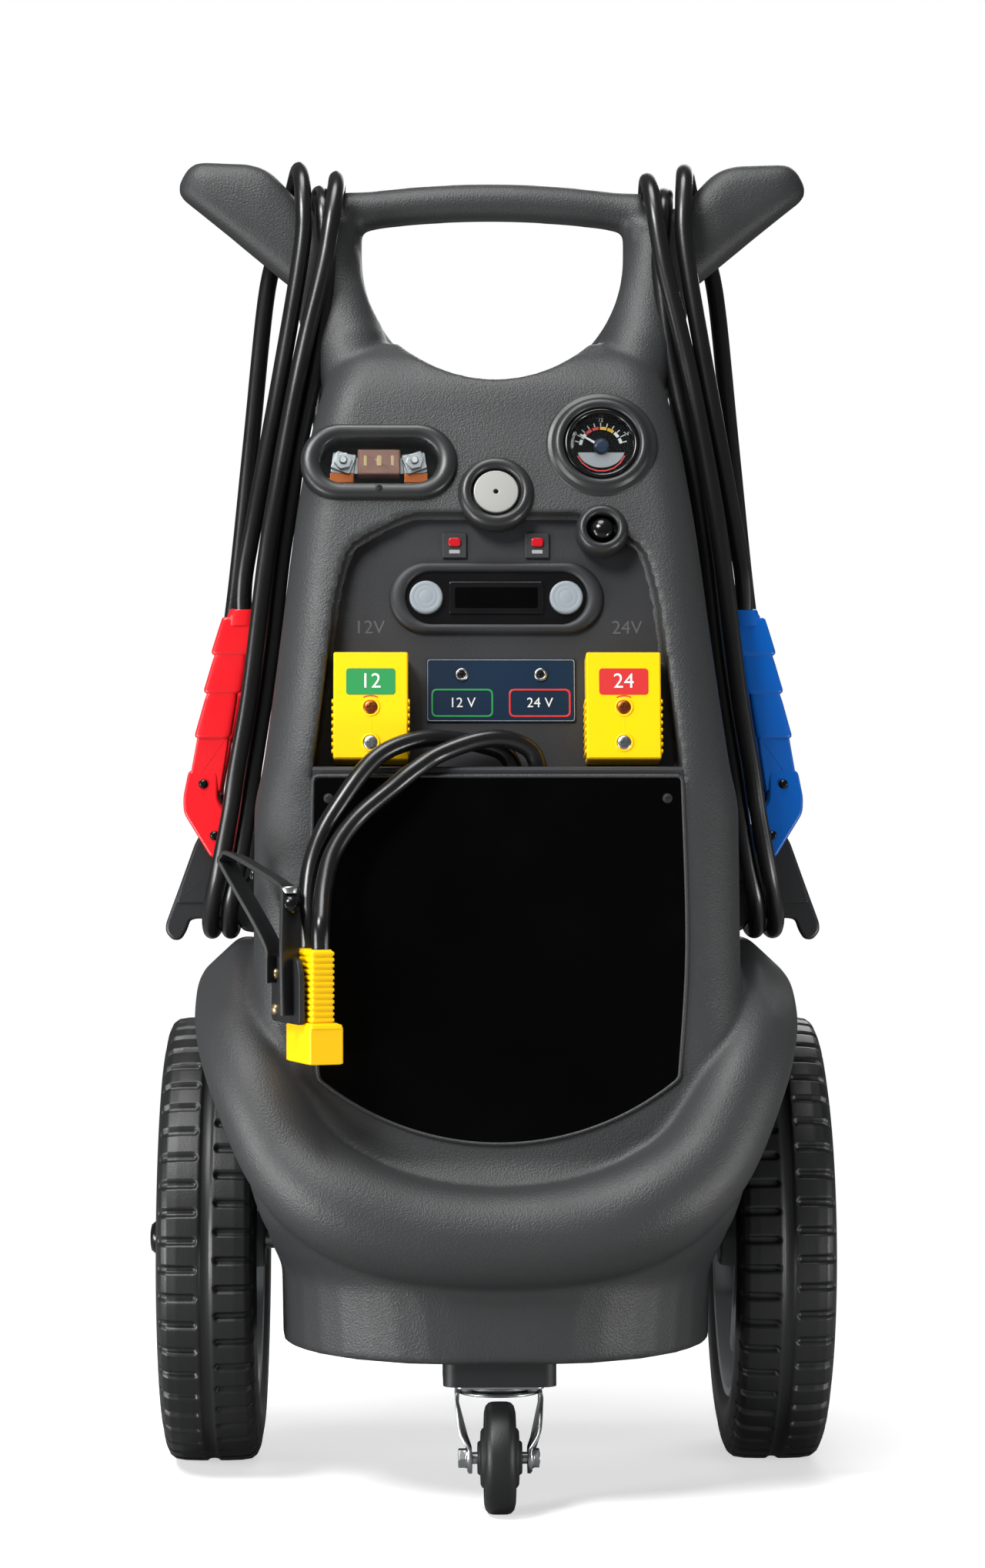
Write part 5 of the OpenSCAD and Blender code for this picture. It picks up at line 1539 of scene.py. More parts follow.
@dataclass
class Clamp:
    """One battery clamp: a fixed front arm and a sprung rear arm on one pin, drawn as on the cart's right side."""

    colour: str
    side: float
    finish: Finishes
    pin: tuple[float, float, float] = (208.0, -22.0, 492.0)
    # How far the middle of an arm is out from the pin.
    middle: float = 12.5
    # The sleeve's steps: foot, head and half width; its middle leans from one point to another.
    steps: Sequence = ((525.0, 556.5, 13.6), (557.3, 584.0, 14.2), (584.8, 609.0, 14.8))
    sleeve_foot: tuple[float, float] = (202.3, 523.0)
    sleeve_head: tuple[float, float] = (183.6, 606.0)
    # Outlines as x and z: the strap to the pin, the jaw below it, and the tooth inside.
    strap: Sequence = ((196.0, 486.0), (220.0, 486.0), (213.6, 520.0), (212.4, 527.0), (189.6, 527.0), (191.4, 514.0))
    jaw: Sequence = ((198, 500), (198, 478), (188.5, 464), (188.5, 455), (196, 437), (203, 437), (222.5, 469),
                     (223, 480), (219, 500))
    tooth: Sequence = ((189.5, 457), (196.5, 438), (203, 438), (208, 446), (198, 458))
    rivets: Sequence = ((208.5, 490.0), (200.5, 453.0))
    rivet: Sequence = ((3.4, 17.6), (3.4, 18.6), (2.9, 19.5), (1.8, 20.1))
    collar: Sequence = ((606.0, 181.2, 10.4, 6.8), (612.6, 180.4, 10.4, 6.8), (613.6, 180.2, 9.8, 6.6),
                        (616.4, 179.8, 9.2, 6.6), (617.2, 179.7, 8.6, 6.2))

    def build(self) -> None:
        """Make both arms."""
        body = self.arm("front", -1.0, 6.0, 9.0, True)
        settle(body, self.finish, replaces=[self.colour + "_clamp_body"])
        jaw = self.arm("rear", 1.0, 16.0, 5.6, False)
        settle(jaw, self.finish, body=self.colour + "_jaw", replaces=[self.colour + "_clamp_arm"])

    def stand(self, points: Array, way: float, tilt_deg: float) -> Array:
        """Lean points drawn about the pin and mirror them to this side.

        Args:
            points: x, y outward from the pin, z, with x and z as on the right side of the cart.
            way: -1 for the front arm, 1 for the rear.
            tilt_deg: How far the arm leans away from the pin.

        Returns:
            The points in millimetres about the axle.
        """
        a = math.radians(tilt_deg)
        y, z = points[..., 1], points[..., 2] - self.pin[2]
        out = y * math.cos(a) + z * math.sin(a)
        up = z * math.cos(a) - y * math.sin(a)
        return np.stack([self.side * points[..., 0], self.pin[1] + way * out, self.pin[2] + up], axis=-1)

    def arm(self, name: str, way: float, tilt_deg: float, cheek_x: float, collared: bool) -> Piece:
        """Sleeve of three stepped grips, flat jaw below, cheeks, a tooth and two rivets.

        Args:
            name: Which arm it is.
            way: -1 for the front arm, 1 for the rear.
            tilt_deg: Its lean.
            cheek_x: Where its cheeks are, out from the pin's middle.
            collared: Whether the cable enters through a collar.

        Returns:
            The joined arm.
        """
        lean = partial(self.stand, way=way, tilt_deg=tilt_deg)
        upright = partial(self.stand, way=way, tilt_deg=0.0)
        (x0, z0), (x1, z1) = self.sleeve_foot, self.sleeve_head
        rows = []
        for low, high, wide in self.steps:
            for z, grow in ((low, -0.9), (low + 0.8, 0.2), (low + 2.6, 0.7), (high - 6.0, -0.7), (high, -1.4)):
                x = x0 + (z - z0) * (x1 - x0) / (z1 - z0)
                rows.append((z, x, self.middle, wide + grow - 1.2, 6.2 + 0.5 * grow))
        rows += [(610.6, 182.6, self.middle, 12.0, 5.2), (611.4, 182.4, self.middle, 10.6, 4.6)]
        pieces = [loft("sleeve", rows, lean, self.finish)]
        flats = ((rounded(self.strap, 2.0, 4), 7.4, 17.2, 1.5, lean),
                 (rounded(self.jaw, 4.0, 5), 7.0, 18.0, 1.8, upright),
                 (rounded(self.tooth, 1.5, 3), 4.4, 8.0, 0.8, upright))
        for outline, low, high, radius, carry in flats:
            rings = pillow(outline, edge_levels(low, high, radius))[..., [0, 2, 1]]
            pieces.append(shell_of("flat", carry(rings), self.finish))
        a = np.linspace(-np.pi / 2, np.pi / 2, 14)
        cheek = np.vstack([np.stack([-6.0 * np.cos(a), 6.0 * np.sin(a)], axis=1), [[8.0, 6.0], [8.0, -6.0]]])[::-1]
        rings = pillow(cheek, edge_levels(-1.5, 1.5, 0.4))
        for x in (-cheek_x, cheek_x):
            turned = sideways(self.pin[0] + x, 0.0, self.pin[2])(rings)
            pieces.append(shell_of("cheek", upright(turned), self.finish))
        points, faces = lathe(self.rivet, 28)
        for x, z in self.rivets:
            made = points[:, [0, 2, 1]] + np.array([x, 0.0, z])
            pieces.append(solid("rivet", (made, faces), upright, Finishes.GLOSS_BLACK))
        if collared:
            rows = [(z, x, self.middle, wide, deep) for z, x, wide, deep in self.collar]
            pieces.append(loft("collar", rows, lean, self.finish, 0.8))
        return join(self.colour + "_clamp_" + name, pieces)


@dataclass
class Hooks:
    """The two steel hooks that carry the wound cables, their outlines drawn outward from the body and in height."""

    body_x: float = 168.3
    plate: Sequence = ((0, 382), (12, 384), (18, 391.6), (22, 392.8), (46, 392.8), (50.5, 391.5), (53, 384),
                       (57, 377.5), (63, 377.2), (68, 383), (68, 389), (57, 419), (47, 447), (42, 456), (37, 460),
                       (0, 462))
    step: Sequence = ((1, 455), (1, 428), (28, 404), (60, 404), (56, 419), (46, 447), (41, 455), (37, 459))
    flange: tuple[float, float] = (44.0, 64.0)

    def build(self) -> None:
        """Make both as rounded plates with a raised step and a flange."""
        plate = pillow(rounded(self.plate, 3.0, 4), edge_levels(-26.0, -18.0, 2.2))
        step = pillow(rounded(self.step, 2.0, 4), edge_levels(-27.6, -24.0, 1.2))
        flange = pillow(box_outline(*self.flange, 5.0, (-22.0, 424.0)), edge_levels(0.0, 4.0, 0.8))
        pieces = []
        for side in SIDES:
            carry = sideways(self.body_x, 0.0, 0.0, side)
            pieces += [shell_of("plate", carry(plate[..., [2, 1, 0]])), shell_of("step", carry(step[..., [2, 1, 0]])),
                       shell_of("flange", carry(flange))]
        settle(join("cable_hooks", pieces), Finishes.POWDER, replaces=["hook_brackets"])


@dataclass
class Connector:
    """Housing of a two-pole connector, mating end up, with ribbed sides and a plain numbered label."""

    name: str
    across: float
    number: str
    ink: Finishes
    foot_z: float = 503.0
    width: float = 51.5
    height: float = 75.0
    depth: float = 26.0
    pole_x: float = 12.9
    screw_up: tuple[float, float] = (11.25, 36.0)
    collar: Sequence = ((4.9, 25.6), (5.1, 26.5), (5.6, 26.75), (6.4, 26.5), (6.8, 25.6))
    ribs: int = 8
    rib_pitch: float = 5.0
    label_up: float = 54.0

    def build(self) -> None:
        """Make the housing, cut its poles, lay a thin face over it, and add its ribs, label and marks."""
        stand = partial(FLOOR.stand, x=self.across, z=self.foot_z, out=0.3)
        add = partial(slab, stand=stand, finish=Finishes.YELLOW)
        middle = (0.0, self.height / 2)
        body = add("housing", box_outline(self.width, self.height, 1.6, middle), 0.0, self.depth, 1.8)
        for side in SIDES:
            pocket = pillow(box_outline(16.0, 30.0, 1.0, (side * self.pole_x, 64.0)), [(0.0, 7.0), (0.0, 19.0)])
            cut(body, shell_of("cutter", stand(pocket)))
        level(body)
        pieces = [body, add("face", box_outline(self.width - 1.9, self.height - 2.0, 1.2, middle), 25.0, 26.06, 0.05),
                  add("seam", box_outline(1.0, 40.0, 0.4, (0.0, 23.0)), 25.4, 26.1, 0.2)]
        label = box_outline(34.0, 18.5, 2.6, (0.0, self.label_up))
        pieces.append(slab("label", label, 25.6, 26.35, 0.15, stand, self.ink))
        at = shifted(stand, (0.0, self.label_up, 26.45))
        pieces.append(lettering("number", self.number, 10.5, 0.3, at, Finishes.WHITE_INK))
        x = np.linspace(-5.0, 5.0, 12)
        bow = np.column_stack([x, 42.4 + 1.2 * (1 - (x / 5.0) ** 2)])
        band = np.vstack([bow, (bow + [0.0, 0.9])[::-1]])
        pieces.append(slab("dash", band, 25.7, 26.2, 0.05, stand, Finishes.RED_INK))
        for up in self.screw_up:
            made = lathe(self.collar, 48, closed=True)
            pieces.append(solid("collar", made, shifted(stand, (0.0, up, 0.0)), Finishes.YELLOW))
        for side in SIDES:
            for i in range(self.ribs):
                rib = box_outline(2.6, 2.7, 0.9, (side * 25.7, 5.6 + self.rib_pitch * i))
                pieces.append(add("rib", rib, 1.6, 25.0, 0.8))
        settle(join(self.name + "_housing", pieces), Finishes.YELLOW, replaces=[self.name])


@dataclass
class Plug:
    """The plug on the panel's leads, with its pull handle."""

    at: tuple[float, float, float] = (-124.0, -224.0, 304.0)
    turn_deg: float = -70.0
    # The hood's sections: height, middle across and deep, half width and half depth.
    hood: Sequence = ((0.0, 0.0, 0.0, 24.6, 11.2), (0.8, 0.0, 0.0, 25.8, 12.4), (24.0, 0.0, 0.0, 25.8, 12.4),
                      (26.0, 0.0, 0.0, 25.0, 11.8), (27.4, 0.0, -1.4, 22.6, 10.0))
    neck_at: tuple[float, float] = (1.5, -1.4)
    ribs: int = 12
    rib_pitch: float = 4.0
    pole_x: float = 13.0
    # The handle's plate, drawn across and up, and the route of its bar.
    plate: Sequence = ((-42, 26), (18, 26), (18, 58), (12, 70), (-42, 70))
    plate_back: float = -16.8
    route: Sequence = ((-151.5, -199, 356), (-151.5, -199, 370), (-152, -198.5, 378), (-160, -193, 394),
                       (-183, -177, 433), (-183.5, -176.6, 439), (-178, -180.5, 441), (-146, -209, 423),
                       (-141, -216, 416), (-140.6, -220, 408), (-140.6, -231.3, 378), (-139.8, -234.4, 336))
    bar_half: float = 9.3
    bar_across: tuple[float, float, float] = (0.62, 0.77, -0.17)
    knob_r: float = 7.0
    knob_at: tuple[float, float, float] = (-140.4, -221.0, 409.0)
    ferrule_at: tuple[float, float, float] = (-141.0, -217.5, 419.0)
    screw_x: float = -32.0
    screw_z: tuple[float, float] = (34.0, 58.0)

    def stand(self, points: Array) -> Array:
        """Carry points from the plug's own axes to its place.

        Args:
            points: Points whose last axis is x, y, z about the middle of its mating end.

        Returns:
            The points in millimetres about the axle.
        """
        a = math.radians(self.turn_deg)
        x, y = points[..., 0], points[..., 1]
        return np.stack([self.at[0] + x * math.cos(a) - y * math.sin(a), self.at[1] + x * math.sin(a) + y * math.cos(a),
                         self.at[2] + points[..., 2]], axis=-1)

    def build(self) -> None:
        """Make the housing with its poles and ribbed neck, then the handle and the screws."""
        rows = [(26.0, 20.0, 7.6)]
        for low in 28.0 + self.rib_pitch * np.arange(self.ribs):
            rows += [(low, 20.2, 7.9), (low + 0.5, 21.0, 8.8), (low + 2.3, 21.0, 8.8), (low + 2.8, 20.2, 7.9)]
        rows += [(75.4, 19.6, 7.4), (76.0, 18.8, 7.0)]
        body = loft("hood", self.hood, self.stand, Finishes.YELLOW, 0.16)
        for outline, low, high in ((box_outline(16.0, 12.0, 1.0, (-self.pole_x, 0.0)), -3.0, 23.0),
                                   (box_outline(16.0, 12.0, 1.0, (self.pole_x, 0.0)), -3.0, 23.0),
                                   (box_outline(1.6, 30.0, 0.4, (26.2, -3.2)), -2.0, 24.0)):
            cut(body, shell_of("cutter", self.stand(pillow(outline, [(0.0, low), (0.0, high)]))))
        level(body)
        rows = [(z, *self.neck_at, wide, deep) for z, wide, deep in rows]
        neck = loft("neck", rows, self.stand, Finishes.YELLOW, 0.2)
        settle(join("plug_shell", [body, neck]), Finishes.YELLOW, replaces=["plug_housing"])
        self.handle()
        self.screws()

    def handle(self) -> None:
        """A flat bar bent round from the plate and back, with a ferrule and a ball at its bend."""
        path = evenly(curve_through(np.array(self.route), 8), 2.0)
        half = np.full(len(path), self.bar_half)
        bar = tube_rings(path, half, 32, np.array(self.bar_across), flat=0.19, power=0.35)
        rings = pillow(rounded(self.plate, 4.0, 5), edge_levels(self.plate_back, self.plate_back + 4.0, 0.9))
        a = np.linspace(-np.pi / 2, np.pi / 2, 16)[1:-1]
        ball = lathe([(self.knob_r * math.cos(t), self.knob_r * math.sin(t)) for t in a], 32)
        ring = lathe([(6.0, -2.4), (6.8, -1.6), (6.8, 1.6), (6.0, 2.4)], 32)
        pieces = [shell_of("bar", bar, Finishes.DARK),
                  shell_of("plate", self.stand(rings[..., [0, 2, 1]]), Finishes.DARK),
                  solid("knob", ball, partial(np.add, np.array(self.knob_at)), Finishes.GLOSS_BLACK),
                  solid("ferrule", ring, partial(np.add, np.array(self.ferrule_at)), Finishes.ZINC)]
        settle(join("plug_pull_handle", pieces), Finishes.DARK, replaces=["plug_handle"])

    def screws(self) -> None:
        """Two domed screws in the handle's plate."""
        points, faces = lathe([(4.0, 0.0), (4.0, 0.8), (3.6, 1.8), (2.4, 2.7), (1.0, 3.0)], 32)
        flipped = points[:, [0, 2, 1]] * np.array([1.0, -1.0, 1.0])
        places = [shifted(self.stand, (self.screw_x, self.plate_back, z)) for z in self.screw_z]
        heads = [solid("head", (flipped, faces), carry, Finishes.BRASS) for carry in places]
        settle(join("plug_domed_screws", heads), Finishes.BRASS, replaces=["plug_screws"])


# ---------------------------------------------------------------- wheels


@dataclass
class RoadWheel:
    """What the tyre and the rim of one road wheel share."""

    side: float

    @property
    def word(self) -> str:
        """Which wheel it is, as the frame names it."""
        return "left" if self.side < 0 else "right"


@dataclass
class Tyre(RoadWheel):
    """One road tyre: rings of a section spun about the axle, sunk where the tread's slots are."""

    # Half of the section, from the bead to the tread's middle: radius, and across from the middle.
    section: Sequence = ((116.4, 27), (126, 34), (138, 35), (151, 32.8), (156, 30.5), (158.6, 27), (159.7, 20),
                         (160, 10), (160, 4.6), (158.6, 3.2), (158.2, 0))
    slots: int = 51
    depth: float = 3.6
    # A slot's half width, its round end and how soft its edge is; the slots of the two sides are set off.
    slot_half: float = 2.9
    slot_end: float = 8.6
    slot_edge: float = 0.9
    set_off: float = 0.02
    sunk_from: float = 149.0
    rib_r: float = 141.0

    def build(self) -> None:
        """Spin the section: radius at (angle, x) = profile(x) less the depth of the slot there."""
        turns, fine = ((18 * self.slots, 1.15))
        half = np.array(self.section)
        line = evenly(np.vstack([half * [1.0, -1.0], half[-2::-1]]), fine)
        line = line[(line[:, 0] > self.sunk_from) | (np.arange(len(line)) % 4 == 0)]
        a = 2 * np.pi * np.arange(turns) / turns
        r, x = line[:, 0:1], line[:, 1:2]
        pitch = 2 * np.pi / self.slots
        high = ((a[None, :] + np.sign(x) * self.set_off) % pitch - pitch / 2) * 159.0
        before = np.minimum(np.abs(x) - self.slot_end, 0.0)
        slot = np.clip((self.slot_half - np.hypot(before, high)) / self.slot_edge, 0.0, 1.0)
        radius = r - slot * np.clip((r - self.sunk_from) / 5.0, 0.0, 1.0) * self.depth
        rib = 0.5 * np.clip(1.0 - np.abs(r - self.rib_r) / 1.2, 0.0, 1.0) * np.sign(x)
        across = np.broadcast_to(self.side * WHEEL_X + x + rib, radius.shape)
        rings = np.stack([across, radius * np.cos(a), AXLE_Z + radius * np.sin(a)], axis=-1)
        tyre = shell_of("tyre_moulding_" + self.word, rings, closed_loop=True)
        settle(tyre, Finishes.TYRE, body="wheel_" + self.word, replaces=["tyre_" + self.word])


@dataclass
class Rim(RoadWheel):
    """One cast road wheel with six webbed spokes and a hub."""

    # Half of the section, from the bore to the bead: radius, and across from the middle.
    section: Sequence = ((8.05, 36), (19.5, 36), (21.0, 34.5), (22.5, 24), (24.5, 6), (28.0, 3.0), (97.0, 3.0),
                         (103.0, 6.0), (106.5, 12.0), (108.0, 24.0), (110.0, 30.2), (111.5, 31.0), (115.0, 31.0),
                         (116.0, 30.0))
    spokes: int = 6
    hole_r: float = 19.7
    hole_at: float = 72.0
    spoke: tuple[float, float] = (88.0, 46.0)
    spoke_at: float = 62.0

    def build(self) -> None:
        """Spin the rim and hub, pierce the web and add the spokes."""
        stand = sideways(self.side * WHEEL_X, 0.0, AXLE_Z)
        half = np.array(self.section)
        wheel = solid("wheel", lathe(np.vstack([half * [1.0, -1.0], half[::-1]]), 128, closed=True), stand)
        made, faces = lathe([(self.hole_r, -20.0), (self.hole_r, 20.0)], 48)
        for i in range(self.spokes):
            turn = 2 * np.pi * (i + 0.5) / self.spokes
            hole = made + self.hole_at * np.array([math.cos(turn), math.sin(turn), 0.0])
            cut(wheel, solid("cutter", (hole, faces), stand))
        pieces = [wheel]
        rings = pillow(box_outline(*self.spoke, 6.0, (self.spoke_at, 0.0)), edge_levels(-4.0, 4.0, 1.8))
        x, across, y = rings[..., 0], rings[..., 1], rings[..., 2]
        for i in range(self.spokes):
            c, d = math.cos(2 * np.pi * i / self.spokes), math.sin(2 * np.pi * i / self.spokes)
            pieces.append(shell_of("spoke", stand(np.stack([x * c - y * d, x * d + y * c, across], axis=-1))))
        whole = join("rim_casting_" + self.word, pieces)
        dress(whole, Finishes.RIM)
        settle(whole, Finishes.RIM, body="wheel_" + self.word, replaces=["rim_" + self.word])


@dataclass
class Axle:
    """The domed end caps of the axle."""

    cap: Sequence = ((11.6, 0.0), (12.0, 0.5), (12.0, 4.2), (11.3, 7.4), (9.3, 9.7), (5.6, 10.4), (1.0, 10.5))
    cap_x: float = 238.3

    def build(self) -> None:
        """Spin a cap for each end."""
        caps = [solid("cap", lathe(self.cap, 48), sideways(self.cap_x, 0.0, AXLE_Z, side)) for side in SIDES]
        settle(join("axle_end_caps", caps), Finishes.GLOSS_BLACK, replaces=["axle_caps"])


@dataclass
class Caster:
    """The swivelling caster: pressed fork, raceway, tyre on its core, and a nutted bolt."""

    swivel_y: float = -187.0
    wheel_y: float = -215.0
    wheel_z: float = 37.5
    plate_side: float = 60.0
    race: Sequence = ((24.0, 80.45), (26.4, 80.9), (28.0, 82.0), (28.2, 83.2), (27.4, 83.6))
    rivet_at: float = 22.0
    rivet: Sequence = ((1.2, 80.8), (3.2, 81.2), (4.0, 82.2), (4.0, 83.6))
    king_pin: Sequence = ((5.0, 76.6), (5.0, 83.6))
    king_head: Sequence = ((6.6, 75.2), (7.5, 75.8), (7.5, 77.1), (7.1, 77.15))
    # A leg's edges at each height: height, how far out, its front and its back.
    leg: Sequence = ((79.6, 27.7, -203.0, -170.5), (76.0, 28.6, -203.5, -170.2), (70.0, 28.2, -206.5, -173.0),
                     (62.0, 27.6, -212.0, -180.5), (54.0, 26.2, -218.5, -191.0), (48.0, 22.6, -222.5, -199.0),
                     (44.0, 20.1, -224.2, -203.5), (38.0, 19.8, -225.2, -205.0), (33.0, 19.8, -223.6, -206.6),
                     (28.6, 19.8, -219.4, -210.6), (27.2, 19.8, -216.4, -213.6))
    # The leg's thickness: out from its middle, and how far its edges are drawn in there.
    sheet: Sequence = ((-1.25, 0.5), (-0.9, 0.0), (0.9, 0.0), (1.25, 0.5))
    crown: Sequence = ((5.1, 77.6), (26.6, 77.6), (28.6, 77.8), (29.0, 78.6), (28.6, 79.6), (27.2, 80.0), (5.1, 80.0))
    washers: Sequence = ((9.6, 1.2), (7.0, 2.6))
    tread: Sequence = ((23.1, -10.3), (31.0, -10.5), (34.4, -9.6), (36.6, -7.6), (37.4, -5.0), (37.5, 0.0), (37.4, 5.0),
                       (36.6, 7.6), (34.4, 9.6), (31.0, 10.5), (23.1, 10.3))
    # Half of the core's section.
    core: Sequence = ((4.1, 15.0), (10.2, 15.0), (11.0, 14.2), (11.6, 13.2), (17.8, 12.9), (19.6, 11.8), (20.6, 10.0),
                      (22.4, 10.0), (23.0, 9.4))
    shank: Sequence = ((3.6, -27.0), (4.0, -26.4), (4.0, 26.4), (3.6, 27.0))
    hexagon_r: float = 7.0
    hexagons: Sequence = ((-27.9, -21.2), (20.9, 26.6))

    def build(self) -> None:
        """Make the plate and race, the fork, the wheel and the bolt."""
        self.plate()
        self.fork()
        stand = sideways(0.0, self.wheel_y, self.wheel_z)
        self.wheel(stand)
        self.bolt(stand)

    def plate(self) -> None:
        """Top plate with four heads under it, the crowned race that carries the balls, and the king pin."""
        stand = partial(np.add, np.array([0.0, self.swivel_y, 0.0]))
        square = box_outline(self.plate_side, self.plate_side, 7.0)
        pieces = [shell_of("plate", stand(pillow(square, edge_levels(83.5, 86.0, 0.6)))),
                  solid("race", lathe(self.race, 64), stand)]
        for x in (-self.rivet_at, self.rivet_at):
            for y in (-self.rivet_at, self.rivet_at):
                pieces.append(solid("rivet", lathe(self.rivet, 24), shifted(stand, (x, y, 0.0))))
        pieces += [solid("pin", lathe(self.king_pin, 32), stand), solid("head", lathe(self.king_head, 32), stand)]
        settle(join("caster_top_plate", pieces), Finishes.ZINC, replaces=["caster_plate"])

    def fork(self) -> None:
        """Crown turned down into two legs: each leg's outline follows the height as a smooth curve."""
        z, x, front, back = curve_through(np.array(self.leg), 5).T
        pieces = []
        for side in SIDES:
            rings = []
            for out, drawn_in in self.sheet:
                rings.append(np.vstack([np.column_stack([side * (x + out), front + drawn_in, z]),
                                        np.column_stack([side * (x + out), back - drawn_in, z])[::-1]]))
            pieces.append(shell_of("leg", np.stack(rings)))
            for radius, deep in self.washers:
                turned = lathe([(radius, -0.4), (radius, deep - 0.5), (radius - 0.6, deep)], 32)
                pieces.append(solid("washer", turned, sideways(20.6, self.wheel_y, self.wheel_z, side)))
        stand = partial(np.add, np.array([0.0, self.swivel_y, 0.0]))
        pieces.append(solid("crown", lathe(self.crown, 72, closed=True), stand))
        settle(join("caster_pressed_fork", pieces), Finishes.ZINC, body="caster_swivel", replaces=["caster_fork"])

    def wheel(self, stand: Stand) -> None:
        """Tyre with rounded shoulders on a core with a raised hub.

        Args:
            stand: What turns a spun piece to lie along the wheel's axle.
        """
        tread = solid("caster_tread", lathe(self.tread, 96, closed=True), stand)
        settle(tread, Finishes.TYRE, body="caster_wheel", replaces=["caster_tyre"])
        half = np.array(self.core)
        hub = solid("caster_hub", lathe(np.vstack([half * [1.0, -1.0], half[::-1]]), 96, closed=True), stand)
        settle(hub, Finishes.DARK, body="caster_wheel", replaces=["caster_core"])

    def bolt(self, stand: Stand) -> None:
        """Shank, hexagon head and nut with chamfered corners, and the thread's end.

        Args:
            stand: What turns a spun piece to lie along the wheel's axle.
        """
        pieces = [solid("shank", lathe(self.shank, 32), stand)]
        a = 2 * np.pi * np.arange(6) / 6
        hexagon = rounded(self.hexagon_r * np.stack([np.cos(a), np.sin(a)], axis=1), 0.5, 2)
        for low, high in self.hexagons:
            pieces.append(shell_of("hexagon", stand(pillow(hexagon, edge_levels(low, high, 0.6, 2)))))
        settle(join("caster_axle_bolt", pieces), Finishes.ZINC, body="caster_swivel", replaces=["caster_bolt"])


# ---------------------------------------------------------------- surroundings


